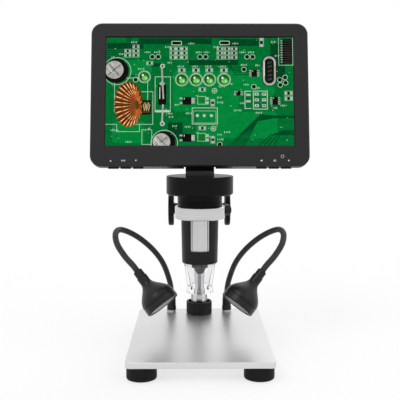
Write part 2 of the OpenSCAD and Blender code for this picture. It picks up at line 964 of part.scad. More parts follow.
module neck_sleeve() {
    r = neck_d / 2;
    bore_r = barrel_d / 2 + 0.05;
    rib = 0.5;
    ribs = [for (i = [0:3])
        let (z = 0.8 + 1.2 * i)
        each [[r, z], [r - rib, z + 0.15], [r - rib, z + 0.6], [r, z + 0.75]]];
    color(c_black)
        at_scope()
            translate([0, 0, block_top])
                rotate_extrude()
                    polygon(concat([[bore_r, eps], [r - 0.3, eps], [r, 0.3]], ribs,
                        [[r, neck_h], [16.5, neck_h], [16.5, neck_h + wall], [bore_r - 1.2, neck_h + wall],
                        [bore_r - 1.2, neck_h - 1], [bore_r, neck_h - 1]]));
}

module window(w, z, h) {
    translate([0, 0, z + h / 2])
        rotate([90, 0, 0])
            linear_extrude(barrel_d)
                rounded_rect(w, h, 0.8);
}

module barrel() {
    r = barrel_d / 2;
    color(c_black)
        at_scope()
            difference() {
                rotate_extrude()
                    polygon([[0, barrel_low], [barrel_low_d / 2 - 0.4, barrel_low],
                        [barrel_low_d / 2, barrel_low + 0.4], [r - 0.05, window_z + window_h - 2],
                        [r, window_z + window_h - 1], [r, board_seat], [0, board_seat]]);
                bore(barrel_bore, board_seat - barrel_low, barrel_low);
                window(window_w, window_z, window_h);
                rotate([0, 0, 180])
                    window(back_window_w, window_z, window_h);
            }
}

module sensor_board() {
    color(c_board)
        at_scope()
            translate([0, 0, board_seat])
                cylinder(d = barrel_d - 0.4, h = 1.4);
    color(c_black)
        at_scope()
            translate([-4.5, -4.5, board_seat - 1.6])
                cube([9, 9, 1.6 + eps]);
    color([0.55, 0.65, 0.7])
        at_scope()
            translate([-3.2, -3.2, board_seat - 2.1])
                cube([6.4, 6.4, 0.6]);
    color(c_steel)
        at_scope()
            translate([-7, 3, board_seat + 1.4 - eps])
                cube([14, 5, 2.2]);
}

module led_ring() {
    color([0.9, 0.9, 0.88])
        at_scope()
            translate([0, 0, led_z])
                difference() {
                    cylinder(d = barrel_bore - 0.2, h = 1.2);
                    bore(led_hole_d, 1.2);
                }
    color([0.98, 0.95, 0.75])
        at_scope()
            ring_of(8, 22.5)
                translate([led_circle_r, 0, led_z])
                    rotate([180, 0, 0])
                        rotate_extrude()
                            polygon([[0, -eps], [1.5, -eps], [1.5, 1.2], [1.2, 1.9], [0.6, 2.3], [0, 2.4]]);
}

module shroud() {
    r0 = barrel_bore / 2 - 0.1;
    r1 = shroud_low_d / 2;
    t = 1.6;
    low = barrel_low - shroud_len;
    color(c_clear)
        at_scope()
            difference() {
                rotate_extrude()
                    polygon([[r1 + 0.7 - t, low], [r1 + 0.9, low], [r1 + 0.7, low + 1.2], [r1, low + 5.6],
                        [r0 - 0.9, barrel_low - 2.6], [r0 - 0.1, barrel_low - 0.6], [r0, led_z],
                        [r0 - t, led_z], [r0 - t - 0.4, barrel_low - 2.6], [r1 - t, low + 5.6]]);
                ring_of(3, 30)
                    block_at(0, head_d, -2.4, 2.4, low - 1, low + 3.2);
            }
}

module zoom_drum() {
    color(c_steel)
        at_scope()
            translate([0, 0, drum_z])
                difference() {
                    cylinder(d = drum_d, h = drum_h);
                    bore(drum_bore, drum_h);
                    ring_of(36)
                        translate([drum_d / 2 + 0.35, 0, 1])
                            cylinder(r = 0.8, h = drum_h - 2, $fn = 16);
                }
}

nose_tip = barrel_low - 9.5;

module lens_carrier() {
    color(c_black)
        at_scope()
            difference() {
                rotate_extrude()
                    polygon([[0, nose_tip], [2.6, nose_tip], [5.9, nose_tip + 5.4], [6.6, nose_tip + 6],
                        [6.6, drum_z + 3], [carrier_d / 2, drum_z + 3], [carrier_d / 2, drum_z + 20],
                        [0, drum_z + 20]]);
                bore(8.4, 40, nose_tip + 5);
                bore(14.4, 30, drum_z + 9);
                bore(3.4, 8, nose_tip - 1);
            }
}

module lens_glasses() {
    color(c_clear)
        at_scope()
            for (l = [[nose_tip + 5, 8.4, 2.6], [drum_z + 9, 14.4, 3.4]])
                translate([0, 0, l[0]])
                    rotate_extrude()
                        polygon([[0, 0], [l[1] / 2, 0.5], [l[1] / 2, l[2] - 0.7], [l[1] / 4, l[2] - 0.15], [0, l[2]]]);
}

// ---------- monitor ----------

module front_bezel() {
    r_in = mon_r - shell_t;
    color(c_shell)
        at_monitor()
            difference() {
                union() {
                    difference() {
                        hull() {
                            slab(mon_w - 2, mon_h - 2, mon_r - 1, 0, 1, $fn = hull_fn);
                            slab(mon_w, mon_h, mon_r, 1, bezel_t, $fn = hull_fn);
                        }
                        slab(mon_w - 2 * shell_t, mon_h - 2 * shell_t, r_in, shell_t, bezel_t + 1);
                    }
                    for (p = screw_spots)
                        translate([p[0], 0, p[1]])
                            rod_y(3.8, shell_t - 0.2, bezel_t);
                }
                translate([0, 0, screen_rise])
                    slab(screen_w + 0.6, screen_h + 0.6, 0.8, -1, shell_t + 1);
                for (p = screw_spots)
                    translate([p[0], 0, p[1]])
                        rod_y(1.8, shell_t + 0.6, bezel_t + 1);
            }
}

button_xs = [for (s = [-1, 1], i = [-1, 0, 1]) s * button_row_x + i * button_pitch];

// Solid of the cover: grow = 0 outside, minus the wall for the cavity
module cover_body(grow, front) {
    w = mon_w + 2 * grow;
    h = mon_h + 2 * grow;
    r = mon_r + grow;
    cut = 2.5;
    bw = bump_w + 2 * grow;
    hull() {
        slab(w, h, r, front, mon_t - cut + grow, $fn = hull_fn);
        slab(w - 2 * cut, h - 2 * cut, r - cut, mon_t - 1 + grow, mon_t + grow, $fn = hull_fn);
    }
    hull() {
        block_at(-bw / 2, bw / 2, mon_t - 2 + grow, mon_t + bump_lip + grow, -h / 2, bump_top + grow);
        block_at(-bw / 2 + plateau_in, bw / 2 - plateau_in, mon_t + bump_t + grow - 0.1, mon_t + bump_t + grow,
            -h / 2 + bump_foot, bump_top - plateau_drop + grow);
    }
}

module rear_cover() {
    roof = -mon_h / 2 + recess_top;
    low = -mon_h / 2 + 0.4;
    back = mon_t + bump_t - 0.6;
    in_x = recess_w / 2;
    out_x = in_x + recess_wall;
    front_low = -mon_h / 2 + recess_front_low;
    color(c_shell)
        at_monitor()
            difference() {
                union() {
                    difference() {
                        cover_body(0, bezel_t);
                        cover_body(-shell_t, bezel_t - 1);
                    }
                    for (p = screw_spots)
                        translate([p[0], 0, p[1]])
                            rod_y(4.6, bezel_t, mon_t - shell_t + 0.5);
                    // cheeks, roof and front wall of the recess for the neck
                    for (x = [-out_x, in_x])
                        translate([x, 0, 0])
                            rotate([90, 0, 90])
                                linear_extrude(recess_wall)
                                    polygon([[recess_front, front_low], [mon_t - 4, low], [mon_t - 1, low],
                                        [back, low + bump_foot], [back, roof + recess_wall],
                                        [recess_front, roof + recess_wall]]);
                    block_at(-out_x, out_x, recess_front, back, roof, roof + recess_wall);
                    block_at(-out_x, out_x, recess_front, recess_front + 1.2, front_low, roof + eps);
                    hinge_bosses(7.2, in_x - 1, in_x + 4.4);
                }
                difference() {
                    block_at(-in_x, in_x, recess_front + 1.2, mon_t + bump_t + 2, -mon_h, roof);
                    hinge_bosses(6.6, tongue_w / 2 + ear_gap, recess_w);
                }
                block_at(-in_x, in_x, bezel_t - 1, mon_t, -mon_h, front_low);
                translate([0, mon_hinge[1], mon_hinge[2]])
                    rod_x(pin_d + 2 * press_gap, -in_x - 4, in_x + 4);
                for (p = screw_spots)
                    translate([p[0], 0, p[1]]) {
                        rod_y(2.2, bezel_t - 1, mon_t + 1);
                        rod_y(4, mon_t - 2.6, mon_t + 1);
                    }
                translate([0, 0, door_z])
                    block_at(-door_w / 2 - 0.15, door_w / 2 + 0.15, mon_t + bump_t - 4, mon_t + bump_t + 1,
                        -door_h / 2 - 0.15, door_h / 2 + 0.15);
                for (p = ports)
                    translate([mon_w / 2 - 6, p[4], p[0]])
                        rotate([90, 0, 90])
                            linear_extrude(8)
                                rounded_rect(p[2] + 0.5, p[1] + 0.5, min(p[2], p[1]) / 2 - 0.05);
                for (x = button_xs)
                    block_at(x - button_w / 2 - 0.2, x + button_w / 2 + 0.2, button_y - button_t / 2 - 0.2,
                        button_y + button_t / 2 + 0.2, -mon_h, -mon_h / 2 + shell_t + 1);
            }
}

module hinge_bosses(d, x0, x1) {
    translate([0, mon_hinge[1], mon_hinge[2]])
        for (s = [0, 1])
            mirror([s, 0, 0])
                rod_x(d, x0, x1);
}

module screen_glass() {
    color([0.02, 0.05, 0.03])
        at_monitor()
            translate([0, 0, screen_rise])
                slab(screen_w + 3, screen_h + 3, 1, shell_t, shell_t + glass_t);
}

module lcd_panel() {
    y0 = shell_t + glass_t;
    h = screen_h + 9.5;
    color(c_steel)
        at_monitor()
            translate([0, 0, screen_rise - 1.9])
                slab(lcd_w, h, 1, y0, y0 + 2.8);
    color([0.75, 0.77, 0.78])
        at_monitor()
            translate([0, 0, screen_rise - 1.9])
                slab(lcd_w - 8, h - 8, 1, y0 + 2.8 - eps, y0 + lcd_t);
}

module circuit_boards() {
    key_z = -mon_h / 2 + 5;
    right = mon_w / 2 - shell_t - 1.6;
    color(c_board)
        at_monitor() {
            block_at(-60, 60, board_y, board_y + board_t, 6, 48);
            difference() {
                block_at(52, right, board_y, board_y + board_t, -48, 30);
                block_at(mon_w / 2 - 1.5 - main_jack[3], right + 1, board_y - 1, board_y + 3,
                    main_jack[0] - main_jack[1] / 2 - 0.3, main_jack[0] + main_jack[1] / 2 + 0.3);
            }
            for (s = [-1, 1])
                block_at(s * button_row_x - 15, s * button_row_x + 15, shell_t, button_y + 2.8, key_z, key_z + 1.2);
        }
    color(c_black)
        at_monitor() {
            block_at(-16, 0, board_y + board_t - eps, board_y + 2.2, 18, 34);
            block_at(14, 26, board_y + board_t - eps, board_y + 2, 14, 26);
            block_at(-44, -32, board_y + board_t - eps, board_y + 2, 20, 28);
            for (x = button_xs)
                block_at(x - 2, x + 2, button_y - 1.5, button_y + 1.5, key_z - 1.2, key_z + eps);
        }
    // posts that carry the main board on the back of the screen
    color(c_steel)
        at_monitor() {
            for (p = [[-54, 12], [-54, 42], [54, 12], [54, 42], [70, -40]])
                translate([p[0], 0, p[1]])
                    rod_y(4, shell_t + glass_t + lcd_t, board_y + eps);
            for (x = [-26, 36])
                translate([x, 0, 40])
                    rod_y(6, board_y + board_t - eps, board_y + 2.2);
        }
}

module battery_pack() {
    color([0.2, 0.35, 0.55])
        at_monitor()
            translate([0, 0, door_z])
                slab(66, 24, 4, 9.6, mon_t + bump_t - 2.3);
}

module battery_door() {
    y1 = mon_t + bump_t;
    ribs = floor((door_h - 2.4) / door_rib_pitch);
    color(c_shell)
        at_monitor()
            translate([0, 0, door_z]) {
                difference() {
                    block_at(-door_w / 2, door_w / 2, y1 - 2, y1, -door_h / 2, door_h / 2);
                    for (i = [0:ribs - 1])
                        translate([0, 0, -door_h / 2 + 1.4 + i * door_rib_pitch])
                            block_at(-door_w / 2 + 1.6, door_w / 2 - 1.6, y1 - 0.35, y1 + 1, 0, 0.55);
                }
            }
}

module cover_screws() {
    color([0.1, 0.1, 0.1])
        at_monitor()
            for (p = screw_spots)
                translate([p[0], 0, p[1]])
                    difference() {
                        union() {
                            rod_y(3.6, mon_t - 2.6, mon_t - 1);
                            rod_y(1.8, shell_t + 1, mon_t - 2.5);
                        }
                        for (a = [0, 90])
                            rotate([0, a, 0])
                                block_at(-1.1, 1.1, mon_t - 1.9, mon_t, -0.25, 0.25);
                    }
}

module hinge_pin() {
    color(c_steel)
        translate([0, hinge_y, hinge_z])
            rod_x(pin_d, -recess_w / 2 - 4, recess_w / 2 + 4);
}

module side_ports() {
    color(c_steel)
        at_monitor()
            for (p = ports)
                translate([mon_w / 2 - 1.2 - p[3], p[4], p[0]])
                    rotate([90, 0, 90])
                        difference() {
                            linear_extrude(p[3])
                                rounded_rect(p[2], p[1], min(p[2], p[1]) / 2 - 0.1);
                            translate([0, 0, p[3] * 0.4])
                                linear_extrude(p[3])
                                    rounded_rect(p[2] - 0.8, p[1] - 0.8, min(p[2], p[1]) / 2 - 0.5);
                        }
}

module button(x) {
    low = -mon_h / 2 - button_out;
    flange = -mon_h / 2 + shell_t + 0.1;
    color(c_black)
        at_monitor() {
            translate([x, button_y, low])
                linear_extrude(flange - low + eps)
                    rounded_rect(button_w, button_t, 0.8);
            block_at(x - button_w / 2 - 0.6, x + button_w / 2 + 0.6, button_y - button_t / 2,
                button_y + button_t / 2, flange, flange + 0.7);
        }
}

// ---------- lamps ----------

// Catmull-Rom point between p1 and p2
function spline(p0, p1, p2, p3, t) =
    0.5 * ((2 * p1) + (p2 - p0) * t + (2 * p0 - 5 * p1 + 4 * p2 - p3) * t * t
        + (3 * p1 - p0 - 3 * p2 + p3) * t * t * t);

function unit(v) = v / norm(v);

goose_last = len(goose_route) - 1;

function route_at(i) =
    i < 0 ? 2 * goose_route[0] - goose_route[1]
    : i > goose_last ? 2 * goose_route[goose_last] - goose_route[goose_last - 1]
    : goose_route[i];

goose_points = concat([for (i = [0:goose_last - 1], k = [0:goose_steps - 1])
    spline(route_at(i - 1), route_at(i), route_at(i + 1), route_at(i + 2), k / goose_steps)],
    [goose_route[goose_last]]);

// A direction that the bent wire never follows, to keep its rings from twisting
goose_side = [0.96, 0.28, 0];

module gooseneck_tube() {
    n = len(goose_points);
    m = goose_sides;
    pts = [for (i = [0:n - 1])
        let (t = unit(goose_points[min(n - 1, i + 1)] - goose_points[max(0, i - 1)]),
            u = unit(cross(t, goose_side)), v = cross(t, u))
        for (k = [0:m - 1])
            goose_points[i] + goose_d / 2 * (cos(360 * k / m) * u + sin(360 * k / m) * v)];
    sides = [for (i = [0:n - 2], k = [0:m - 1])
        let (a = i * m + k, b = i * m + (k + 1) % m)
        each [[a, b, b + m], [a, b + m, a + m]]];
    foot_face = [for (k = [0:m - 1]) m - 1 - k];
    end_face = [for (k = [0:m - 1]) (n - 1) * m + k];
    polyhedron(pts, concat([foot_face], sides, [end_face]), convexity = 6);
}

module ferrule() {
    z0 = stage_z + socket_t;
    translate([goose_x, plate_d / 2 - goose_inset, z0])
        difference() {
            rotate_extrude()
                polygon([[0, 0], [4.1, 0], [4.4, 0.4], [4.4, 3], [4.1, 3.6], [3.9, ferrule_h - 0.4],
                    [3.6, ferrule_h], [0, ferrule_h]]);
            bore(4.4 + 2 * run_fit, 5.4);
            bore(goose_d + 0.4, 6, ferrule_h - 5.2);
            bore(2.8, ferrule_h);
        }
}

bell_start = 12;
lamp_wall = 2.3;
lamp_band = 6.4;

// Outer radius of the bell at s from the collar's end: an ogee from collar to rim
function bell_r(s, grow) =
    let (u = max(0, min(1, (s - bell_start) / (lamp_len - 7 - bell_start))))
    lamp_collar_d / 2 + grow + (lamp_d - lamp_collar_d) / 2 * (1 - cos(180 * pow(u, 0.85))) / 2;

module lamp_shell() {
    outer = [for (i = [0:10]) let (s = bell_start + (lamp_len - 7 - bell_start) * i / 10) [bell_r(s, 0), s]];
    inner = [for (i = [10:-1:3]) let (s = bell_start + (lamp_len - 7 - bell_start) * i / 10)
        [bell_r(s, -lamp_wall), s + 0.6]];
    cr = lamp_collar_d / 2;
    lr = lamp_d / 2;
    at_lamp()
        difference() {
            rotate_extrude()
                polygon(concat([[0, 0], [cr - 0.9, 0], [cr - 0.6, 0.4], [cr - 0.5, 5.6], [cr, 6], [cr, 10]],
                    outer, [[lr, lamp_len - lamp_band], [lr - 0.45, lamp_len - lamp_band + 0.3],
                    [lr - 0.45, lamp_len - lamp_band + 0.9], [lr, lamp_len - lamp_band + 1.2], [lr, lamp_len - 1], [lr - 0.5, lamp_len], [lr - lamp_wall, lamp_len],
                    [lr - lamp_wall, lamp_len - 5]], inner, [[0, inner[len(inner) - 1][1]]]));
            bore(goose_d + 0.2, collar_in + 0.2);
            bore(2.4, 14, collar_in);
        }
}

module lamp_board() {
    at_lamp() {
        translate([0, 0, lamp_len - 7.2])
            cylinder(r = lamp_d / 2 - lamp_wall - 0.3, h = 1.2);
        translate([0, 0, lamp_len - 6 - eps])
            for (a = [0:60:300])
                rotate([0, 0, a])
                    translate([7, 0, 0])
                        cylinder(d1 = 3.4, d2 = 2.6, h = 1.4);
        translate([0, 0, lamp_len - 6 - eps])
            cylinder(d1 = 4, d2 = 3, h = 1.4);
    }
}

module lamp_lens() {
    at_lamp()
        translate([0, 0, lamp_len - 2.2])
            rotate_extrude()
                polygon([[0, 0], [lamp_d / 2 - lamp_wall - 0.1, 0], [lamp_d / 2 - lamp_wall - 0.1, 1.4],
                    [lamp_d / 2 - lamp_wall - 1.4, 1.9], [0, 2.1]]);
}

module left() {
    mirror([1, 0, 0])
        children();
}

// ---------- drawing ----------

// The lock knob reaches past the plate, so the whole moves half of that forward
lock_back = block_back + 0.2 + lock_knob_len;
row_shift = -max(0, lock_back - plate_d / 2) / 2;

translate([0, row_shift, 0]) {
    base_plate();
    rubber_feet();
    base_screws();
    column();
    column_bolt();
    column_collar();
    rack();
    lamp_sockets();
    control_box();
    control_board();
    power_ports();
    dimmer_wheel();
    carriage_block();
    carriage_bushes();
    support_arm();
    arm_screw();
    ring_screw();
    lock_knob();
    focus_shaft();
    pinion();
    focus_knobs();
    head_housing();
    head_cap();
    hinge_neck();
    neck_bolts();
    neck_sleeve();
    barrel();
    sensor_board();
    led_ring();
    shroud();
    zoom_drum();
    lens_carrier();
    lens_glasses();
    front_bezel();
    rear_cover();
    screen_glass();
    lcd_panel();
    circuit_boards();
    battery_pack();
    battery_door();
    cover_screws();
    hinge_pin();
    side_ports();
    button(button_xs[0]);  // button_1
    button(button_xs[1]);  // button_2
    button(button_xs[2]);  // button_3
    button(button_xs[3]);  // button_4
    button(button_xs[4]);  // button_5
    button(button_xs[5]);  // button_6
    left_ferrule();
    left_gooseneck();
    left_lamp_shell();
    left_lamp_board();
    left_lamp_lens();
    right_ferrule();
    right_gooseneck();
    right_lamp_shell();
    right_lamp_board();
    right_lamp_lens();
}

module right_ferrule() {
    color(c_black)
        ferrule();
}

module left_ferrule() {
    left()
        right_ferrule();
}

module right_gooseneck() {
    color(c_rubber)
        gooseneck_tube();
}

module left_gooseneck() {
    left()
        right_gooseneck();
}

module right_lamp_shell() {
    color(c_black)
        lamp_shell();
}

module left_lamp_shell() {
    left()
        right_lamp_shell();
}

module right_lamp_board() {
    color([0.93, 0.93, 0.88])
        lamp_board();
}

module left_lamp_board() {
    left()
        right_lamp_board();
}

module right_lamp_lens() {
    color(c_clear)
        lamp_lens();
}

module left_lamp_lens() {
    left()
        right_lamp_lens();
}
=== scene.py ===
"""Looks of the stand microscope: finishes for its machined and moulded pieces, the picture on its
screen, and the ribbed goosenecks of its lamps. Lengths are in metres, in the frame of the part."""

import math

import bpy
import numpy as np
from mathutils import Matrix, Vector


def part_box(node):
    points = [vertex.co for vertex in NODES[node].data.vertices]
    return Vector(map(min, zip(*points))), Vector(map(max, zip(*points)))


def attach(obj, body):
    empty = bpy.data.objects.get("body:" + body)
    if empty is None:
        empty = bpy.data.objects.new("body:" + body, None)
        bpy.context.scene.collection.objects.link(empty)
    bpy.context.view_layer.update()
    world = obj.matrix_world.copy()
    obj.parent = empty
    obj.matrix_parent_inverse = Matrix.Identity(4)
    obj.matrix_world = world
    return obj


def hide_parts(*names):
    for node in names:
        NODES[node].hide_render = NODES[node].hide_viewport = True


MM = 0.001
# The stand's own middle lies this far, in millimetres, in front of the origin
ROW_SHIFT = -1.905
# The camera's place in metres, its turns down and left in degrees, and its lens in millimetres
CAMERA_PLACE = (-0.005, -0.6023, 0.1918)
CAMERA_DOWN = 5.9
CAMERA_LEFT = 0.5
CAMERA_LENS = 64.6
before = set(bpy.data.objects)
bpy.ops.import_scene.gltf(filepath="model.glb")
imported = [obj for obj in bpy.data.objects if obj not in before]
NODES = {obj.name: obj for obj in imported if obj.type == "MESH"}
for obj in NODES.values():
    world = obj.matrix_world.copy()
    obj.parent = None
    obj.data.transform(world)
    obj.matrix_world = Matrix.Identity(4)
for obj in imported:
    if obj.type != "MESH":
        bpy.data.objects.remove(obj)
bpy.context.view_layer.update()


# ---------------------------------------------------------------- studio

def place_camera():
    """Camera in front of the stand, a little to the left and above its middle, looking slightly down."""
    data = bpy.data.cameras.new("studio_camera")
    data.sensor_width = 36
    data.lens = CAMERA_LENS
    data.clip_start = 0.02
    data.clip_end = 30
    camera = bpy.data.objects.new("studio_camera", data)
    camera.location = CAMERA_PLACE
    camera.rotation_euler = (math.radians(90 - CAMERA_DOWN), 0, math.radians(-CAMERA_LEFT))
    bpy.context.scene.collection.objects.link(camera)
    bpy.context.scene.camera = camera


def soft_light(name, side, spread, power):
    """Far lamp that shines from that side, as wide in the sky as spread degrees."""
    data = bpy.data.lights.new(name, "SUN")
    data.angle = math.radians(spread)
    data.energy = power
    lamp = bpy.data.objects.new(name, data)
    lamp.rotation_euler = Vector(side).to_track_quat("Z", "Y").to_euler()
    bpy.context.scene.collection.objects.link(lamp)


def fill_world(level):
    """White world that light rays feel at level, and that the camera, gloss and glass see at 1."""
    world = bpy.data.worlds.new("studio_white")
    bpy.context.scene.world = world
    world.use_nodes = True
    tree = world.node_tree
    back = tree.nodes["Background"]
    back.inputs["Color"].default_value = (1, 1, 1, 1)
    rays = tree.nodes.new("ShaderNodeLightPath")
    seen = tree.nodes.new("ShaderNodeMath")
    seen.operation = "ADD"
    seen.use_clamp = True
    tree.links.new(rays.outputs["Is Camera Ray"], seen.inputs[0])
    more = tree.nodes.new("ShaderNodeMath")
    more.operation = "ADD"
    tree.links.new(rays.outputs["Is Glossy Ray"], more.inputs[0])
    tree.links.new(rays.outputs["Is Transmission Ray"], more.inputs[1])
    tree.links.new(more.outputs[0], seen.inputs[1])
    strength = tree.nodes.new("ShaderNodeMapRange")
    strength.inputs["To Min"].default_value = level
    strength.inputs["To Max"].default_value = 1
    tree.links.new(seen.outputs[0], strength.inputs["Value"])
    tree.links.new(strength.outputs["Result"], back.inputs["Strength"])


# ---------------------------------------------------------------- finishes

# Spacing of the lathe's rings, in metres
RING_PITCH = 0.00045


class Value:
    """A socket that takes part in Python sums: each sum adds the Math node that works it out."""

    def __init__(self, tree, socket):
        self.tree = tree
        self.socket = socket

    def math(self, operation, *others, flip=False):
        node = self.tree.nodes.new("ShaderNodeMath")
        node.operation = operation
        terms = [self, *others]
        if flip:
            terms.reverse()
        for slot, term in zip(node.inputs, terms):
            if isinstance(term, Value):
                self.tree.links.new(term.socket, slot)
            else:
                slot.default_value = term
        return Value(self.tree, node.outputs[0])

    def __add__(self, other):
        return self.math("ADD", other)

    def __mul__(self, other):
        return self.math("MULTIPLY", other)

    def __radd__(self, other):
        return self.math("ADD", other, flip=True)

    def __abs__(self):
        return self.math("ABSOLUTE")

    def __gt__(self, other):
        return self.math("GREATER_THAN", other)

    def sine(self):
        return self.math("SINE")



class Finish:
    """One material under construction, with the nodes that its pattern needs."""

    def __init__(self, name):
        self.material = bpy.data.materials.new(name)
        self.material.use_nodes = True
        self.tree = self.material.node_tree
        self.tree.nodes.clear()
        self.output = self.tree.nodes.new("ShaderNodeOutputMaterial")

    def node(self, kind, settings=None, links=None, out=0):
        """Any node: its kind, its settings, and the values or links of its sockets."""
        node = self.tree.nodes.new("ShaderNode" + kind)
        for key, value in (settings or {}).items():
            setattr(node, key, value)
        for key, value in (links or {}).items():
            if isinstance(value, Value):
                self.tree.links.new(value.socket, node.inputs[key])
            else:
                node.inputs[key].default_value = value
        return Value(self.tree, node.outputs[out])

    def place(self):
        """Point of the piece in metres."""
        return self.node("TexCoord", out="Object")

    def axes(self):
        """The point's X, Y and Z as three numbers."""
        split = self.tree.nodes.new("ShaderNodeSeparateXYZ")
        self.tree.links.new(self.place().socket, split.inputs[0])
        return [Value(self.tree, split.outputs[i]) for i in range(3)]

    def stretched(self, sx, sy, sz):
        """Object point scaled by three numbers, so that noise drawn on it runs along an axis."""
        return self.node("Mapping", {}, {"Vector": self.place(), "Scale": (sx, sy, sz)})

    def noise(self, scale, detail=2.0, where=None, rough=0.5):
        return self.node("TexNoise", {}, {"Vector": where or self.place(), "Scale": scale,
                                          "Detail": detail, "Roughness": rough})

    def mix(self, amount, dark, light):
        """Colour between dark and light as amount goes from 0 to 1."""
        node = self.tree.nodes.new("ShaderNodeMix")
        node.data_type = "RGBA"
        for slot, term in ((0, amount), (6, dark), (7, light)):
            if isinstance(term, Value):
                self.tree.links.new(term.socket, node.inputs[slot])
            elif slot == 0:
                node.inputs[slot].default_value = term
            else:
                node.inputs[slot].default_value = (*term, 1)
        return Value(self.tree, node.outputs[2])

    def bump(self, height, depth):
        """Normal of a surface whose relief is height, 0 to 1, times depth in metres."""
        return self.node("Bump", {}, {"Height": height, "Distance": depth, "Strength": 1.0}, "Normal")

    def skin(self, colour, rough, **more):
        """Principled surface; what the names in more hold goes on the sockets of those names."""
        shader = self.tree.nodes.new("ShaderNodeBsdfPrincipled")
        wanted = {"Base Color": colour, "Roughness": rough}
        wanted.update({key.replace("_", " "): value for key, value in more.items()})
        for key, value in wanted.items():
            if isinstance(value, Value):
                self.tree.links.new(value.socket, shader.inputs[key])
            elif key in ("Base Color", "Emission Color", "Specular Tint", "Coat Tint"):
                shader.inputs[key].default_value = (*value, 1)
            else:
                shader.inputs[key].default_value = value
        self.tree.links.new(shader.outputs[0], self.output.inputs[0])
        return self.material


def grey(level):
    """Neutral colour of that linear level."""
    return (level, level, level)


def moulded(name, level, rough, grain=0.00001, size=2600, specular=0.5):
    """Moulded plastic: fine spark texture, and broad uneven gloss where it has been handled."""
    f = Finish(name)
    spark = f.noise(size, 2)
    cloud = f.noise(28, 3)
    colour = f.mix(cloud, grey(level * 0.85), grey(level * 1.15))
    gloss = rough - 0.06 + cloud * 0.12
    return f.skin(colour, gloss, Normal=f.bump(spark, grain), Specular_IOR_Level=specular)


def polished(name, level, specular=0.4):
    """Half-glossy moulded plastic with faint orange peel."""
    f = Finish(name)
    peel = f.noise(420, 1)
    dust = f.noise(60, 4)
    colour = f.mix(dust, grey(level * 0.8), grey(level * 1.3))
    return f.skin(colour, 0.26 + dust * 0.12, Normal=f.bump(peel, 0.000012), Specular_IOR_Level=specular)


def turned_black(name, level, rough, specular=0.2):
    """Black anodised metal, turned: faint rings up the axis and a soft change of gloss between them."""
    f = Finish(name)
    height = f.axes()[2]
    rings = (height * (2 * math.pi / RING_PITCH)).sine() * 0.5 + 0.5
    bands = f.noise(1, 2, f.stretched(1, 1, 900))
    colour = f.mix(bands, grey(level * 0.8), grey(level * 1.3))
    relief = f.bump(rings * 0.5 + bands * 0.5, 0.000008)
    return f.skin(colour, rough - 0.05 + bands * 0.1, Normal=relief, Specular_IOR_Level=specular)


def bare_metal(name, level, rough, run, fine=0.000008, spread=0.1):
    """Clear anodised aluminium with tool marks: run scales their noise on X, Y and Z, low along the marks.
    Spread sets how far their tone swings; where it is wide, as on the arm, the swing is partly painted
    reflection.
    """
    f = Finish(name)
    marks = f.noise(1, 3, f.stretched(*run), 0.6)
    cloud = f.noise(24, 3)
    dark, light = grey(level * (1 - spread)), grey(min(1, level * (1 + spread)))
    colour = f.mix(marks * 0.6 + cloud * 0.4, dark, light)
    return f.skin(colour, rough - 0.05 + marks * 0.1, Metallic=1.0, Normal=f.bump(marks, fine))


def blasted_plate(name):
    """Bead-blasted and anodised plate: fine even sparkle with faint clouding and a trace of its grain."""
    f = Finish(name)
    spark = f.noise(3200, 2)
    cloud = f.noise(16, 3)
    grain = f.noise(1, 2, f.stretched(14, 1900, 1900))
    colour = f.mix(cloud * 0.5 + grain * 0.5, grey(0.62), grey(0.77))
    return f.skin(colour, 0.29 + spark * 0.08, Metallic=0.88, Normal=f.bump(spark, 0.000006))


def rubbery(name, level, rough, specular):
    """Moulded rubber: matt, with a fine pebble and a dusty bloom."""
    f = Finish(name)
    pebble = f.noise(1700, 3)
    bloom = f.noise(45, 4)
    colour = f.mix(bloom, grey(level * 0.8), grey(level * 1.6))
    return f.skin(colour, rough - 0.08 + bloom * 0.16, Normal=f.bump(pebble, 0.00003),
                  Specular_IOR_Level=specular)


def clear(name, colour, rough=0.02, ior=1.46):
    """Clear moulding: smooth, with the least waviness of its surface."""
    f = Finish(name)
    wave = f.noise(70, 1)
    return f.skin(colour, rough + wave * 0.015, Transmission_Weight=1.0, IOR=ior,
                  Normal=f.bump(wave, 0.00002))


def frosted(name, level):
    """Milky lamp window: fine dimples and a trace of the diodes' shadows behind it."""
    f = Finish(name)
    dimple = f.noise(1500, 2)
    dots = f.noise(260, 2)
    return f.skin(f.mix(dots, grey(level * 0.5), grey(level * 1.6)), 0.28 + dimple * 0.1,
                  Normal=f.bump(dimple, 0.00003), Specular_IOR_Level=0.5)


def solder_mask(name, level=(0.012, 0.11, 0.05)):
    """Circuit board: green mask over faint copper tracks at right angles."""
    f = Finish(name)
    across, _, up = f.axes()
    tracks = (abs((across * 420).sine()) > 0.93) + (abs((up * 420).sine()) > 0.93)
    colour = f.mix(tracks * 0.5, level, tuple(min(1, c * 1.7 + 0.01) for c in level))
    return f.skin(colour, 0.3 + f.noise(90) * 0.1, Normal=f.bump(tracks, 0.00003))


def glass_front(name):
    """Dark glass over the panel, with a trace of dust."""
    f = Finish(name)
    dust = f.noise(300, 4)
    return f.skin(grey(0.006), 0.05 + dust * 0.08, Specular_IOR_Level=0.5)


def diode_white(name):
    """White lamp board with a faint weave, and the pale domes on it."""
    f = Finish(name)
    weave = f.noise(900, 2)
    colour = f.mix(weave, (0.72, 0.71, 0.62), (0.86, 0.85, 0.78))
    return f.skin(colour, 0.4 + weave * 0.1, Normal=f.bump(weave, 0.00001))


def wrapped_cell(name):
    """Battery in its shrink wrap: blue film with shallow wrinkles."""
    f = Finish(name)
    wrinkle = f.noise(140, 3)
    colour = f.mix(wrinkle, (0.02, 0.06, 0.2), (0.05, 0.12, 0.32))
    return f.skin(colour, 0.25 + wrinkle * 0.15, Normal=f.bump(wrinkle, 0.0001))


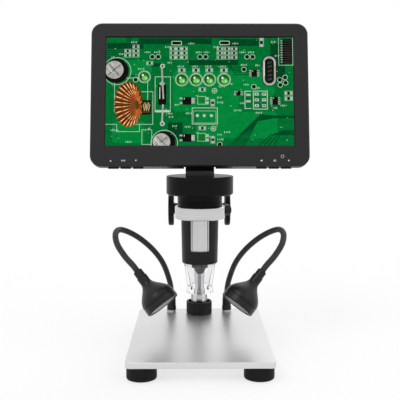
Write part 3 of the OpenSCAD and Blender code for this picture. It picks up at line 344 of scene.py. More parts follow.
def speckled(name, low, high, rough, metal):
    """Plain stock, such as nylon or sintered bronze, with a speckle of its grain."""
    f = Finish(name)
    grain = f.noise(1300, 3)
    return f.skin(f.mix(grain, low, high), rough - 0.05 + grain * 0.1, Metallic=metal,
                  Normal=f.bump(grain, 0.00001))


def drawn_black(name, level=0.011):
    """Black shell plastic whose grain runs level from side to side, as on the battery door and the back."""
    f = Finish(name)
    grain = f.noise(1, 3, f.stretched(40, 1300, 1300))
    cloud = f.noise(28, 3)
    return f.skin(f.mix(cloud * 0.4 + grain * 0.6, grey(level * 0.75), grey(level * 1.3)), 0.38 + cloud * 0.1,
                  Normal=f.bump(grain, 0.00003), Specular_IOR_Level=0.28)


def lit(name, colour, mottle=0.0):
    """Colour of the lit picture: it shines by itself, mottled by that share, and mirrors nothing."""
    f = Finish(name)
    shine = colour
    if mottle:
        dark = tuple(c * (1 - mottle) for c in colour)
        light = tuple(min(1, c * (1 + mottle)) for c in colour)
        shine = f.mix(f.noise(300, 3), dark, light)
    return f.skin((0, 0, 0), 0.25, Emission_Color=shine, Emission_Strength=1.0, Specular_IOR_Level=0.0)


FINISH = {
    "satin_plate": blasted_plate("satin_plate"),
    "bright_column": bare_metal("bright_column", 0.66, 0.24, (900, 900, 6), 0.000004, 0.12),
    # Partly painted reflection: the arm's wide tone swing along its brushing marks stands for the uneven
    # light its metal would mirror
    "silver_arm": bare_metal("silver_arm", 0.6, 0.3, (14, 14, 1700), 0.00001, 0.34),
    "steel": bare_metal("steel", 0.5, 0.28, (500, 500, 60)),
    "black_screw": turned_black("black_screw", 0.006, 0.32),
    "rubber": rubbery("rubber", 0.006, 0.6, 0.14),
    "black_plastic": moulded("black_plastic", 0.006, 0.38, specular=0.2),
    "black_shell": moulded("black_shell", 0.011, 0.42, 0.000014, 2200, specular=0.28),
    "gloss_black": polished("gloss_black", 0.008, 0.26),
    "head_metal": turned_black("head_metal", 0.006, 0.3, specular=0.07),
    "nylon": speckled("nylon", (0.7, 0.68, 0.6), (0.82, 0.8, 0.73), 0.5, 0.0),
    "bronze": speckled("bronze", (0.42, 0.27, 0.12), (0.62, 0.44, 0.22), 0.4, 1.0),
    "board": solder_mask("board"),
    "drum_metal": bare_metal("drum_metal", 0.62, 0.26, (700, 700, 12), 0.000005, 0.2),
    "clear_shroud": clear("clear_shroud", (0.9, 0.905, 0.91)),
    "lens_glass": clear("lens_glass", (0.96, 0.98, 0.99), 0.01, 1.52),
    "screen_glass": glass_front("screen_glass"),
    "led_white": diode_white("led_white"),
    "battery_wrap": wrapped_cell("battery_wrap"),
    "gooseneck": rubbery("gooseneck", 0.008, 0.33, 0.42),
}


def dress(material, *names):
    """Gives CAD nodes that material in place of the plain one they came with."""
    for name in names:
        mesh = NODES[name].data
        if not mesh.materials:
            mesh.materials.append(material)
        for i in range(len(mesh.materials)):
            mesh.materials[i] = material


def dress_all():
    """Each CAD node gets the finish of its own slot in the record."""
    for name, thing in NODES.items():
        mesh = thing.data
        for i, old in enumerate(list(mesh.materials)):
            slot = old.name.split(".")[0] if old else ""
            if slot in FINISH:
                mesh.materials[i] = FINISH[slot]
    dress(drawn_black("door_black"), "battery_door")
    dress(drawn_black("cover_black", 0.0095), "rear_cover")
    dress(moulded("port_metal", 0.02, 0.35, specular=0.3), "power_ports", "side_ports")
    dress(moulded("neck_black", 0.012, 0.3, specular=0.4), "hinge_neck")
    # Painted shade: the control board gets a near-black green, so that through the box's openings it reads as
    # the shade inside the box
    dress(solder_mask("board_in_painted_shade", (0.002, 0.014, 0.006)), "control_board")
    dress(frosted("lamp_window", 0.16), "left_lamp_lens", "right_lamp_lens")


# ---------------------------------------------------------------- surfaces

def piece(name, points, faces, finish, body, smooth=True):
    """Mesh object in place: points are N by 3, faces a list of index arrays of equal width each."""
    mesh = bpy.data.meshes.new(name)
    mesh.from_pydata(np.asarray(points, float).tolist(), [], [f for block in faces for f in block.tolist()])
    mesh.validate()
    mesh.polygons.foreach_set("use_smooth", np.full(len(mesh.polygons), smooth))
    mesh.materials.append(finish)
    thing = bpy.data.objects.new(name, mesh)
    bpy.context.scene.collection.objects.link(thing)
    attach(thing, body)
    return thing


def grid_faces(rows, columns, closed):
    """Quads of a grid of rows by columns points; closed joins the last column to the first."""
    last = columns if closed else columns - 1
    i, k = np.meshgrid(np.arange(rows - 1), np.arange(last), indexing="ij")
    i, k = i.ravel(), k.ravel()
    n = (k + 1) % columns
    return np.stack([i * columns + k, i * columns + n, (i + 1) * columns + n, (i + 1) * columns + k], 1)


def smooth_route(points, steps):
    """Curve through the points: between each two it is the cubic whose ends lean along their neighbours."""
    p = np.asarray(points, float)
    p = np.vstack([2 * p[0] - p[1], p, 2 * p[-1] - p[-2]])
    t = (np.arange(steps) / steps)[None, :, None]
    a, b, c, d = (p[i:len(p) - 3 + i][:, None, :] for i in range(4))
    square, cube = 2 * a - 5 * b + 4 * c - d, 3 * b - a - 3 * c + d
    curve = 0.5 * (2 * b + (c - a) * t + square * t ** 2 + cube * t ** 3)
    return np.vstack([curve.reshape(-1, 3), p[-2]])


def even_steps(curve, count):
    """The same curve in count steps of equal length, and its length."""
    run = np.concatenate([[0], np.cumsum(np.linalg.norm(np.diff(curve, axis=0), axis=1))])
    s = np.linspace(0, run[-1], count)
    return np.stack([np.interp(s, run, curve[:, i]) for i in range(3)], 1), run[-1]


def ribbed_tube(curve, radius, pitch, groove, sides, side):
    """Tube along curve. At length s its radius is radius less groove where the eighth power of
    cos(pi s / pitch) peaks, so narrow grooves part rounded ribs. Its ends are closed by a fan."""
    rough_length = np.linalg.norm(np.diff(curve, axis=0), axis=1).sum()
    count = int(rough_length / pitch) * 8 + 1
    path, length = even_steps(curve, count)
    s = np.linspace(0, length, count)
    r = radius - groove * np.cos(np.pi * s / pitch) ** 8
    t = np.gradient(path, axis=0)
    t /= np.linalg.norm(t, axis=1)[:, None]
    u = np.cross(t, np.asarray(side, float))
    u /= np.linalg.norm(u, axis=1)[:, None]
    v = np.cross(t, u)
    a = np.linspace(0, 2 * np.pi, sides, endpoint=False)
    ring = np.cos(a)[None, :, None] * u[:, None, :] + np.sin(a)[None, :, None] * v[:, None, :]
    points = (path[:, None, :] + r[:, None, None] * ring).reshape(-1, 3)
    faces = grid_faces(count, sides, True)
    k = np.arange(sides)
    points = np.vstack([points, path[0], path[-1]])
    low = np.stack([np.full(sides, count * sides), (k + 1) % sides, k], 1)
    top = (count - 1) * sides
    high = np.stack([np.full(sides, count * sides + 1), top + k, top + (k + 1) % sides], 1)
    return points, [faces, low, high]


# ---------------------------------------------------------------- plate

def round_corner_loop(wide, deep, r, steps):
    """Anticlockwise outline of a rectangle about the origin whose corners are quarter circles of radius r."""
    a = np.linspace(0, np.pi / 2, steps)
    turn = np.arange(4)[:, None] * np.pi / 2 + a[None, :]
    side = np.array([[1, 1], [-1, 1], [-1, -1], [1, -1]])
    middle = side * (np.array([wide, deep]) / 2 - r)
    return (middle[:, None, :] + r * np.stack([np.cos(turn), np.sin(turn)], -1)).reshape(-1, 2)


# Broken edge and corner radius of the plate in millimetres, and the points round one corner
PLATE_EDGE = 0.55
PLATE_CORNER = 4.5
CORNER_POINTS = 7


def plate_slab():
    """Base plate with its broken edges: at angle b the edge's outline is drawn in by e (1 - cos b) and lies
    e (1 - sin b) under the top, and the lower edge mirrors it."""
    low, high = (np.array(corner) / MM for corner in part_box("base_plate"))
    middle, size = (low + high) / 2, high - low
    e = PLATE_EDGE
    b = np.linspace(np.pi / 2, 0, 5)
    inward = np.concatenate([e * (1 - np.cos(b)), e * (1 - np.cos(b[::-1]))])
    height = np.concatenate([high[2] - e * (1 - np.sin(b)), low[2] + e * (1 - np.sin(b[::-1]))])
    n = 4 * CORNER_POINTS
    loops = []
    for d, z in zip(inward, height):
        outline = round_corner_loop(size[0] - 2 * d, size[1] - 2 * d, PLATE_CORNER - d, CORNER_POINTS)
        loops.append(np.column_stack([outline + middle[:2], np.full(n, z)]))
    rim = grid_faces(len(loops), n, True)[:, ::-1]
    top = np.arange(n)[None, :]
    under = (np.arange(n)[::-1] + (len(loops) - 1) * n)[None, :]
    slab = piece("plate_slab", np.vstack(loops) * MM, [rim, top, under], FINISH["satin_plate"], "base")
    slab.data.polygons.foreach_set("use_smooth", np.r_[np.full(len(rim), True), False, False])
    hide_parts("base_plate")


# ---------------------------------------------------------------- goosenecks

# The sleeve and the right lamp's route, in millimetres: LAMP_TOP is the bell's top and LAMP_AIM its direction
NECK_RADIUS = 2.63
RIB_PITCH = 1.5
RIB_GROOVE = 0.32
NECK_SIDES = 20
LAMP_TOP = np.array([51.8, -15.3, 72.2])
LAMP_AIM = np.array([-21.9, -9.8, -26.7]) / np.linalg.norm([-21.9, -9.8, -26.7])
ROUTE = np.array([
    [26.3, 72.5, 24.9], [26.3, 72.5, 31.9], [28, 70.5, 45], [33.5, 63, 63], [42, 56, 77], [53, 47, 89],
    [63, 37, 97], [70, 25, 101], [72.5, 13, 99], [70, 2, 92], [63, -7, 83.5],
    LAMP_TOP - 6 * LAMP_AIM, LAMP_TOP - LAMP_AIM, LAMP_TOP + 8 * LAMP_AIM]) + [0, ROW_SHIFT, 0]


def goosenecks():
    """Both bent wires in their fine ribbed sleeve, the left one on the mirrored route."""
    for word, turn in (("right", 1), ("left", -1)):
        flip = np.array([turn, 1, 1])
        curve = smooth_route(ROUTE * flip * MM, 12)
        points, faces = ribbed_tube(curve, NECK_RADIUS * MM, RIB_PITCH * MM, RIB_GROOVE * MM, NECK_SIDES,
                                    np.array([0.96, 0.28, 0]) * flip)
        tube = piece(word + "_ribbed_neck", points, faces, FINISH["gooseneck"], word + "_lamp")
        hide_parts(word + "_gooseneck")


# ---------------------------------------------------------------- picture on the screen

# The monitor leans back by LEAN about HINGE; depths are behind its front face, in millimetres
LEAN = math.radians(-12)
HINGE = np.array([0, -9.105, 170.5])
HINGE_IN_SCREEN = np.array([0, 13.9, -45.2])
PICTURE_RISE = 2.8
PICTURE_HALF = (76.6, 45.05)
GLASS_DEPTH = 2.2


def at_monitor(points):
    """Points of the upright monitor, in millimetres from its front face's middle, placed in metres."""
    c, s = math.cos(LEAN), math.sin(LEAN)
    p = np.asarray(points, float) - HINGE_IN_SCREEN
    return np.stack([p[:, 0], c * p[:, 1] - s * p[:, 2], s * p[:, 1] + c * p[:, 2]], 1) * MM + HINGE * MM


class Sheet:
    """Flat shapes of one colour, held in the picture's plane: u to the right, v up, in millimetres."""

    def __init__(self, lift):
        self.lift = lift
        self.points = []
        self.faces = []
        self.count = 0

    def add(self, outline):
        """Convex outline, anticlockwise as the viewer sees it."""
        outline = np.asarray(outline, float)
        n = len(outline)
        self.points.append(outline)
        self.faces.append(np.arange(n)[None, :] + self.count)
        self.count += n

    def box(self, u, v, w, h, turn=0.0):
        """Rectangle of w by h about (u, v), turned by turn degrees."""
        c, s = math.cos(math.radians(turn)), math.sin(math.radians(turn))
        corners = np.array([[-w, -h], [w, -h], [w, h], [-w, h]]) / 2
        self.add(corners @ np.array([[c, s], [-s, c]]) + (u, v))

    def pill(self, u, v, w, h, r, turn=0.0):
        """Rectangle whose corners are quarter circles of radius r."""
        a = np.linspace(0, np.pi / 2, 6)
        parts = []
        for q, (sx, sy) in enumerate(((1, 1), (-1, 1), (-1, -1), (1, -1))):
            b = a + q * np.pi / 2
            arc = r * np.stack([np.cos(b), np.sin(b)], 1)
            parts.append(arc + (sx * (w / 2 - r), sy * (h / 2 - r)))
        c, s = math.cos(math.radians(turn)), math.sin(math.radians(turn))
        self.add(np.vstack(parts) @ np.array([[c, s], [-s, c]]) + (u, v))

    def disc(self, u, v, rx, ry=None, n=28):
        """Ellipse of half widths rx and ry."""
        a = np.linspace(0, 2 * np.pi, n, endpoint=False)
        self.add(np.stack([u + rx * np.cos(a), v + (ry or rx) * np.sin(a)], 1))

    def ring(self, u, v, r, wide, n=28):
        """Circle line of radius r to its outside and that width."""
        a = np.linspace(0, 2 * np.pi, n, endpoint=False)
        unit = np.stack([np.cos(a), np.sin(a)], 1)
        self.points.append(np.vstack([r * unit, (r - wide) * unit]) + (u, v))
        k = np.arange(n)
        m = (k + 1) % n
        self.faces.append(np.stack([k, m, m + n, k + n], 1) + self.count)
        self.count += 2 * n

    def line(self, points, wide):
        """Track along points: at each point the two edges lie half of wide off, on the corner's bisector."""
        p = np.asarray(points, float)
        t = np.diff(p, axis=0)
        t /= np.linalg.norm(t, axis=1)[:, None]
        n = np.stack([-t[:, 1], t[:, 0]], 1)
        m = np.vstack([n[:1], n[:-1] + n[1:], n[-1:]])
        reach = np.concatenate([[1], np.sum(m[1:-1] * n[1:], axis=1), [1]])
        m = m / reach[:, None] * wide / 2
        k = np.arange(len(p) - 1)
        self.points.append(np.vstack([p + m, p - m]))
        self.faces.append(np.stack([k + len(p), k + 1 + len(p), k + 1, k], 1) + self.count)
        self.count += 2 * len(p)

    def frame(self, u, v, w, h, wide):
        """Outline of a rectangle."""
        a, b = w / 2, h / 2
        for e in (1, -1):
            self.box(u, v + e * b, w + wide, wide)
        for e in (-1, 1):
            self.box(u + e * a, v, wide, h)

    def build(self, name, finish):
        """Turns the flat shapes into one mesh just in front of the glass."""
        flat = np.vstack(self.points)
        for i, reach in enumerate(PICTURE_HALF):
            flat[:, i] = np.clip(flat[:, i], -reach, reach)
        depth = np.full(len(flat), GLASS_DEPTH - self.lift)
        points = at_monitor(np.stack([flat[:, 0], depth, flat[:, 1] + PICTURE_RISE], 1))
        return piece(name, points, self.faces, finish, "monitor", smooth=False)


def chip_part(u, v, turn, long, wide, tin, body, silk):
    """Small soldered part: two bright ends, a dark middle and a printed outline."""
    c, s = math.cos(math.radians(turn)), math.sin(math.radians(turn))
    for e in (-1, 1):
        tin.box(u + e * c * long * 0.42, v + e * s * long * 0.42, long * 0.42, wide * 1.15, turn)
    body.box(u, v, long * 0.5, wide, turn)
    w, h = (long + 1.7, wide + 1.4) if turn == 0 else (wide + 1.4, long + 1.7)
    silk.frame(u, v, w, h, 0.26)


def coil_picture(cu, cv, core, wire, wire_light, glint):
    """Wound ring seen aslant: strand i runs from the small hole, which lies to the right, to the outer rim at
    angle a, and its width grows from the hole to the rim. Its light side and two glints follow it."""
    core.disc(cu, cv, 10.2, 17.2, 40)
    a = np.radians(np.arange(4, 364, 15.0))
    hole = np.stack([cu + 7.4 + 1.5 * np.cos(a), cv - 0.5 + 4.0 * np.sin(a)], 1)
    rim = np.stack([cu + 11.3 * np.cos(a + 0.05), cv + 18.5 * np.sin(a + 0.05)], 1)
    reach = rim - hole
    side = np.stack([-reach[:, 1], reach[:, 0]], 1) / np.linalg.norm(reach, axis=1)[:, None]
    for h, r, t in zip(hole, rim, side):
        wire.add([h - t * 0.35, r - t * 1.75, r + t * 1.75, h + t * 0.35])
        wire_light.add([h - t * 0.02, r - t * 0.2, r + t * 1.15, h + t * 0.24])
        if r[0] < cu + 5:
            for near, far, w in ((0.36, 0.58, 0.2), (0.68, 0.92, 0.36)):
                p, q = h + (r - h) * near + t * 0.3, h + (r - h) * far + t * 0.45
                glint.add([p - t * w * 0.5, q - t * w, q + t * w, p + t * w * 0.5])


# Count of the small holes
HOLES = 90


def circuit_picture():
    """Magnified circuit board on the screen, drawn as flat coloured shapes in a few layers."""
    rng = np.random.default_rng(11)
    mask, shade, deep, track = Sheet(0.03), Sheet(0.05), Sheet(0.05), Sheet(0.07)
    tin, silk, body, core = Sheet(0.10), Sheet(0.12), Sheet(0.14), Sheet(0.15)
    wire, wire_light, metal = Sheet(0.16), Sheet(0.18), Sheet(0.18)
    dome, shadow, dome_light, bright = Sheet(0.17), Sheet(0.19), Sheet(0.20), Sheet(0.21)
    slate, coil_glint = Sheet(0.20), Sheet(0.20)

    mask.box(0, 0, 153.2, 90.1)
    # broad copper areas under the mask, darker gaps, and bundles of tracks
    for u, v, w, h in ((5, 0, 54, 34), (30, -28, 66, 22), (-58, -34, 26, 18), (46, 6, 30, 20),
                       (-50, 20, 22, 12)):
        shade.pill(u, v, w, h, 3)
    for u, v, w, h in ((-20, 42, 60, 5), (34, 41, 30, 6), (9, 24, 36, 4), (-61, 38, 30, 5),
                       (64, 25, 12, 30), (-20, -33, 12, 14), (-36, 22, 8, 3), (28, 30, 7, 16)):
        deep.box(u, v, w, h)
    for i in range(6):
        d = i * 2.4
        track.line([(24 + d, -45), (44 + d * 0.45, -25 + d * 0.45), (60 + d * 0.2, -22 + d * 0.1),
                    (77, -22 + d * 0.1)], 1.0)
    for i in range(4):
        track.line([(48 + i * 4, -45), (58 + i * 3, -36 + i), (77, -36 + i)], 0.9)
    for i in range(5):
        low = 27 + i * 1.8
        track.line([(-77, low), (-66 + i, low), (-60 + i, low + 6), (-60 + i, 45)], 0.6)
    for i in range(4):
        track.line([(16 + i * 2, 45), (16 + i * 2, 30 - i), (26 + i, 20 - i * 2), (40, 20 - i * 2)], 0.6)

    def part(u, v, turn=0, long=4.0, wide=1.8):
        chip_part(u, v, turn, long, wide, tin, body, silk)

    def hole(u, v, r=1.6):
        """Plated hole with its printed ring."""
        silk.ring(u, v, r + 0.55, 0.42)
        shadow.disc(u, v, r)
        tin.ring(u, v, r, 0.4)

    def ticks(u, v, n, step=1.35):
        """Row of short printed ticks, as a mark beside a part."""
        for i in range(n):
            tall = 1.5 if (i * 7 + int(u)) % 3 else 0.9
            silk.box(u + i * step, v, 0.5, tall)
            if (i + int(v)) % 2:
                silk.box(u + i * step + 0.35, v + tall / 2 - 0.2, 0.7, 0.36)

    coil_picture(-58.5, -11, core, wire, wire_light, coil_glint)
    body.box(-43.5, -13.5, 7.5, 12)
    core.box(-43.5, -13.5, 5.5, 9)
    for i in range(5):
        coil_glint.box(-45.5 + i * 1.1, -13.5 + (i % 2) * 1.4, 0.35, 5.5, 12 - i * 6)
    silk.frame(-56, -3, 27, 28, 0.4)
    silk.frame(-47, -14, 17.5, 27, 0.4)
    silk.line([(-77, -27.5), (-67.5, -27.5), (-67.5, -33.5), (-49, -33.5), (-49, -27.5)], 0.4)
    silk.frame(-43, -38, 8, 12, 0.4)

    # round cans: dark sleeve, pale crossed top
    for u, v, r in ((-69, 17.4, 10.2), (-30.2, -42.5, 9.6)):
        silk.ring(u + 1.4, v - 0.6, r + 1.4, 0.45, 40)
        body.disc(u + 0.8, v - 0.4, r, n=40)
        metal.disc(u - 0.9, v + 0.5, r * 0.74, n=36)
        for turn in (40, 130):
            shadow.box(u - 0.9, v + 0.5, r * 1.3, 0.55, turn)
        bright.box(u - r * 0.45, v + r * 0.1, 0.5, r * 0.7, 40)

    # row of green domes, and a single one
    for u, v, r in ((-14.7, 9.7, 4.4), (-3.1, 9.7, 4.4), (7.8, 9.7, 4.4), (19.8, 9.7, 4.4), (-45.3, 12, 4.1)):
        silk.ring(u, v, r + 1.1, 0.45, 32)
        silk.ring(u, v, r + 0.3, 0.3, 32)
        dome.disc(u, v, r, n=28)
        dome_light.disc(u + 0.5, v - 1.2, r * 0.6, r * 0.5, 20)
        shadow.ring(u, v, r - 0.5, 0.5, 26)
        bright.disc(u - 1.2, v + 1.4, 0.8, 1.0, 12)
        bright.disc(u + 1.3, v - 1.3, 0.5, 0.6, 12)
    for u in (-14.7, -3.1, 7.8, 19.8):
        part(u, 17.5)
        ticks(u - 3, 20.6, 4)

    # upright diode on its white plates
    silk.frame(-30.2, -2.5, 12.5, 29, 0.45)
    metal.box(-30.4, 7, 1.3, 27, 3)
    metal.box(-30.4, -19, 1.3, 16, -3)
    body.pill(-30.6, -3, 6.6, 17, 1.2)
    metal.disc(-30.8, 6.2, 2.2, 1.6, 16)
    bright.box(-32.6, -1.5, 0.5, 10)
    tin.box(-30.3, -16.6, 11.5, 1.9)
    for v in (-27, 21):
        tin.disc(-30.5, v, 2)
        shadow.disc(-30.5, v, 0.8, n=14)

    # transistors, each with its tabs, and the small parts round them
    for u, v in ((-10.5, -8), (-10.5, -38.6)):
        body.box(u, v, 7.2, 6.6)
        bright.box(u - 2.2, v + 1.8, 0.5, 1.4)
        metal.box(u + 5, v, 2.6, 4.6)
        for e in (-1, 1):
            metal.box(u - 4.8, v + e * 2, 2.2, 1.5)
        silk.line([(u + 7.2, v + 4.2), (u + 9.4, v + 4.2)], 0.35)
        silk.frame(u + 12, v + 0.4, 6.4, 6.4, 0.35)
        dome.box(u + 12, v + 0.4, 3.6, 3.6)
        for e in (-1, 1):
            tin.box(u + 16.6, v + e * 1.8, 2.2, 2.4)
        part(u + 21, v - 1.6, 90, 4, 1.8)
        ticks(u + 25, v + 2.6, 3)
        ticks(u + 25, v - 1.4, 4)
    for u, v in ((2, 1.4), (2, -30.6)):
        part(u, v)
    for u, v in ((12, 0.4), (11, -31)):
        silk.ring(u, v, 2.2, 0.5)
        tin.disc(u, v, 0.9, n=16)
    # groups of small parts along the top
    for u in (-22, -17.3, -12.6, 16.6, 22.4, 28.2):
        for v in (35.7, 32, 28.3):
            part(u, v, 0, 3.4, 1.5)
    for u, v in ((-19, 40.4), (20.4, 40.6)):
        silk.pill(u, v, 8.6, 3.6, 1)
        body.pill(u, v, 7.4, 2.5, 0.7)
        for e in (-1, 1):
            tin.box(u + e * 1.7, v, 1.9, 1.9)
    for u, v in ((-59, 30), (-52.3, 30), (-59, 33.7), (-52.3, 33.7), (-52.3, 37.4), (-41, 23.4)):
        part(u, v, 0, 3.6, 1.6)
    # header with three tinned holes
    silk.frame(4, -20.6, 20.5, 13.4, 0.5)
    silk.frame(4, -21.4, 18.2, 10, 0.25)
    for u in (-2, 3.6, 9.4):
        tin.disc(u, -20.3, 1.3)
        bright.disc(u - 0.3, -20, 0.4, 0.4, 10)
    # crystal can: bright rim, dark flat top with a pale bloom
    body.pill(57, 17, 12, 26, 5.6)
    metal.pill(57, 17, 10.6, 24.6, 5)
    shadow.pill(57, 17, 7.6, 21, 3.6)
    bright.pill(52.9, 19, 0.6, 12, 0.3)
    for v in (24, 20.6, 17, 13.4, 10):
        slate.box(57.3, v, 3.6, 1.7, 20)
    # packages with rows of legs
    for u, v, w, h, n in ((44.6, 15, 4.4, 5.8, 4), (61.5, -8, 4.4, 6.8, 4), (31.5, -1.6, 3.4, 4, 3)):
        body.box(u, v, w, h)
        bright.disc(u - w * 0.3, v + h * 0.32, 0.35, 0.35, 10)
        for e in (-1, 1):
            for k in range(n):
                metal.box(u + e * (w / 2 + 1), v + (k - (n - 1) / 2) * h / n, 1.8, h / n * 0.5)
    # flat socket with its contacts
    body.box(72, 33.5, 7.6, 21)
    for k in range(10):
        metal.box(67.2, 24.4 + k * 2, 1.5, 0.8)
        slate.box(72, 24.4 + k * 2, 6.2, 0.6)
    silk.frame(70.6, 33.5, 11.6, 23.4, 0.35)
    # pads in printed brackets
    silk.frame(49.4, -7.4, 11.4, 15, 0.6)
    for u in (46.4, 52.4):
        for v in (-2.4, -7.2, -12):
            tin.box(u, v, 3.4, 2.4)
            shadow.box(u, v, 1.4, 0.8)
    silk.line([(42, 0), (36.8, 0), (36.8, -14.4), (42, -14.4)], 0.6)
    for v in (-3, -8.4):
        tin.box(39.6, v, 3.6, 1.8)
    part(50.8, 41, 90, 5.4, 2)
    part(72.5, -1.6, 0, 4.6, 2)
    part(72.5, -6, 0, 4.6, 2)

    for u, v in ((-38.9, 28.8), (-34, 28.8), (0.2, 28.8), (4.9, 28.8), (38.8, 28.8), (43.4, 28.8),
                 (36.2, 18.2), (44.2, 3.8), (65.4, 9.6), (69.8, 11.6), (65.8, 5.2), (70.2, 7), (-52.4, 9.6),
                 (16, -44)):
        hole(u, v)
    # small plated holes, scattered
    places = np.stack([rng.uniform(-74, 74, HOLES), rng.uniform(-43, 43, HOLES)], 1)
    for (u, v), r in zip(places, rng.uniform(0.22, 0.42, HOLES)):
        tin.disc(u, v, r, n=8)
    for u, v, n in ((-72, 28.4, 2), (-56, 41, 4), (-66, 31, 4), (-45, 32.6, 4), (-37, 32.6, 4),
                    (-50, 18.6, 4), (-26, 23.8, 3), (-28, 37, 4), (-9, 40, 4), (-3, 32.6, 4),
                    (3.6, 32.6, 4), (11.6, 37, 4), (27, 40, 4), (33, 32.6, 4), (40, 32.6, 4),
                    (34, 22, 4), (59, 41.4, 3), (62, 29.6, 3), (36, 5.4, 4), (46, 21.6, 3),
                    (46, 2.6, 3), (-20, -11.4, 3), (-11, -18.4, 4), (-22, -29, 3), (-12, -29.6, 4),
                    (16, 4, 4), (22, 6, 4), (33, -10, 3), (46, -18, 4), (60, -14, 3),
                    (-72, -32.4, 5), (-60, -42, 4), (-27, -18.6, 4), (-25, -21.4, 3), (28, -16, 5),
                    (66, -12, 4), (20, -34, 4), (-42, -31, 2)):
        ticks(u, v, n)

    for name, sheet, colour, mottle in (
            ("picture_mask", mask, (0.001, 0.155, 0.03), 0.4),
            ("picture_copper", shade, (0.0015, 0.225, 0.042), 0.3),
            ("picture_gap", deep, (0.0008, 0.06, 0.016), 0.4),
            ("picture_tracks", track, (0.0008, 0.065, 0.018), 0.3),
            ("picture_tin", tin, (0.44, 0.52, 0.46), 0.4),
            ("picture_print", silk, (0.45, 0.66, 0.49), 0.3),
            ("picture_black", body, (0.007, 0.006, 0.006), 0.6),
            ("picture_core", core, (0.09, 0.05, 0.012), 0.6),
            ("picture_coil", wire, (0.13, 0.014, 0.004), 0.6),
            ("picture_coil_light", wire_light, (0.56, 0.15, 0.03), 0.7),
            ("picture_coil_glint", coil_glint, (1.0, 0.74, 0.36), 0.3),
            ("picture_slate", slate, (0.05, 0.04, 0.04), 0.5),
            ("picture_metal", metal, (0.42, 0.41, 0.38), 0.6),
            ("picture_dome", dome, (0.012, 0.18, 0.012), 0.7),
            ("picture_dome_light", dome_light, (0.16, 0.55, 0.12), 0.6),
            ("picture_glint", bright, (0.9, 0.93, 0.8), 0.2),
            ("picture_shadow", shadow, (0.004, 0.012, 0.006), 0.4)):
        sheet.build(name, lit(name, colour, mottle))


# Bead of the bump's edges, in millimetres, and its sides
BEAD_RADIUS = 0.42
BEAD_STEP = 0.5
BEAD_SIDES = 8


def bump_edges():
    """Broken edges of the battery bump: a slim bead follows each ridge, and its round form is the edge's.
    Its grey, paler than the shell, is a painted highlight along the ridges.
    Points are in millimetres from the middle of the monitor's front face: across, depth, height."""
    half, flat, foot, back = 45.9, 38.4, 13.1, 21.45
    top, flat_top, low, flat_low = 6.9, -1.3, -58.8, -55.9
    ridges = (
        ((-flat, back, flat_low), (-flat, back, flat_top), (flat, back, flat_top), (flat, back, flat_low)),
        ((-half, foot, low), (-half, foot, top), (half, foot, top), (half, foot, low)),
        ((-half, foot, top), (-flat, back, flat_top)),
        ((half, foot, top), (flat, back, flat_top)))
    # Painted highlight: the beads get a grey well above the shell's black, for the light that the rounded
    # ridges catch
    edge_highlight = moulded("painted_highlight_edge", 0.05, 0.26, specular=0.6)
    for word, ridge in zip(("flat", "foot", "left_corner", "right_corner"), ridges):
        points, faces = ribbed_tube(at_monitor(ridge), BEAD_RADIUS * MM, BEAD_STEP * MM, 0, BEAD_SIDES,
                                    np.array([0, 1, 0]))
        piece("bump_edge_" + word, points, faces, edge_highlight, "monitor")


def screen_border():
    """Dark unlit margin of the panel, a thin band round the picture."""
    band = Sheet(0.05)
    band.frame(0, 0, 153.3, 90.2, 0.55)
    band.build("picture_margin", lit("picture_margin", (0.05, 0.04, 0.045)))


# Row of the signs, and how far they stand off the bezel, in millimetres from the front face's middle
MARK_HEIGHT = -54.8
MARK_DEPTH = -0.03


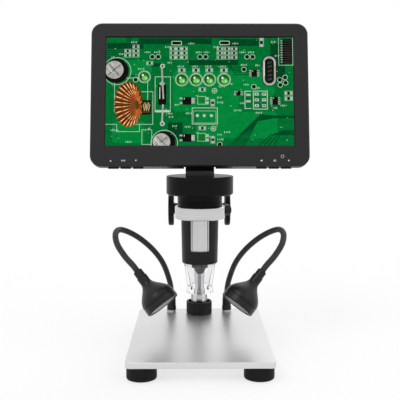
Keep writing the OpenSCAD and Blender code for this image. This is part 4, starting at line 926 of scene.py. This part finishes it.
def bezel_marks():
    """Small pale signs on the bezel over the keys: arrows, bars, a dot, a square and a ring."""
    f = Finish("pale_ink")
    ink = f.skin(f.mix(f.noise(900), (0.5, 0.5, 0.5), (0.7, 0.7, 0.7)), 0.5)
    sheet = Sheet(0.0)
    v = MARK_HEIGHT
    sheet.add([(-72.6, v - 0.7), (-71, v - 0.7), (-71.8, v + 0.7)])
    for du in (-1.2, 0.0, 1.2):
        sheet.box(-61.7 + du, v, 0.6, 1.3)
    sheet.add([(-50.7, v + 0.7), (-52.3, v + 0.7), (-51.5, v - 0.7)])
    sheet.pill(49.7, v, 1.6, 1.2, 0.4)
    sheet.frame(60.3, v, 1.5, 1, 0.4)
    sheet.disc(71.6, v, 0.65, n=16)
    sheet.ring(66.6, v + 3.4, 1.35, 0.28, 24)
    flat = np.vstack(sheet.points)
    points = at_monitor(np.stack([flat[:, 0], np.full(len(flat), MARK_DEPTH), flat[:, 1]], 1))
    piece("bezel_marks", points, sheet.faces, ink, "monitor", smooth=False)


# ---------------------------------------------------------------- floor

# In metres; the floor lies just under the feet
FLOOR_RADIUS = 6
FLOOR_POINTS = 96
FLOOR_HEIGHT = -0.0003


def floor():
    """Wide round floor, white to the camera, that keeps the stand's soft shadow."""
    f = Finish("studio_floor")
    rays = f.tree.nodes.new("ShaderNodeLightPath")
    matt = f.tree.nodes.new("ShaderNodeBsdfDiffuse")
    matt.inputs["Color"].default_value = (0.86, 0.86, 0.86, 1)
    glow = f.tree.nodes.new("ShaderNodeEmission")
    glow.inputs["Strength"].default_value = 1.1
    seen = Value(f.tree, rays.outputs["Is Camera Ray"]) + Value(f.tree, rays.outputs["Is Glossy Ray"])
    seen = (seen + Value(f.tree, rays.outputs["Is Transmission Ray"])) * 0.6
    blend = f.tree.nodes.new("ShaderNodeMixShader")
    f.tree.links.new(seen.socket, blend.inputs[0])
    f.tree.links.new(matt.outputs[0], blend.inputs[1])
    f.tree.links.new(glow.outputs[0], blend.inputs[2])
    f.tree.links.new(blend.outputs[0], f.output.inputs[0])
    a = np.linspace(0, 2 * np.pi, FLOOR_POINTS, endpoint=False)
    x, y = FLOOR_RADIUS * np.cos(a), FLOOR_RADIUS * np.sin(a)
    points = np.stack([x, y, np.full(FLOOR_POINTS, FLOOR_HEIGHT)], 1)
    mesh = bpy.data.meshes.new("studio_floor")
    mesh.from_pydata(points.tolist(), [], [list(range(FLOOR_POINTS))])
    mesh.materials.append(f.material)
    thing = bpy.data.objects.new("studio_floor", mesh)
    bpy.context.scene.collection.objects.link(thing)


# ---------------------------------------------------------------- the scene

bpy.context.scene.view_settings.view_transform = "Standard"
place_camera()
fill_world(0.74)
soft_light("key_light", (-0.55, -0.75, 1.0), 32, 0.62)
soft_light("fill_light", (0.9, -0.5, 0.7), 40, 0.22)
soft_light("back_light", (0.45, 0.9, 0.8), 40, 0.35)
floor()
dress_all()
plate_slab()
goosenecks()
circuit_picture()
screen_border()
bump_edges()
bezel_marks()
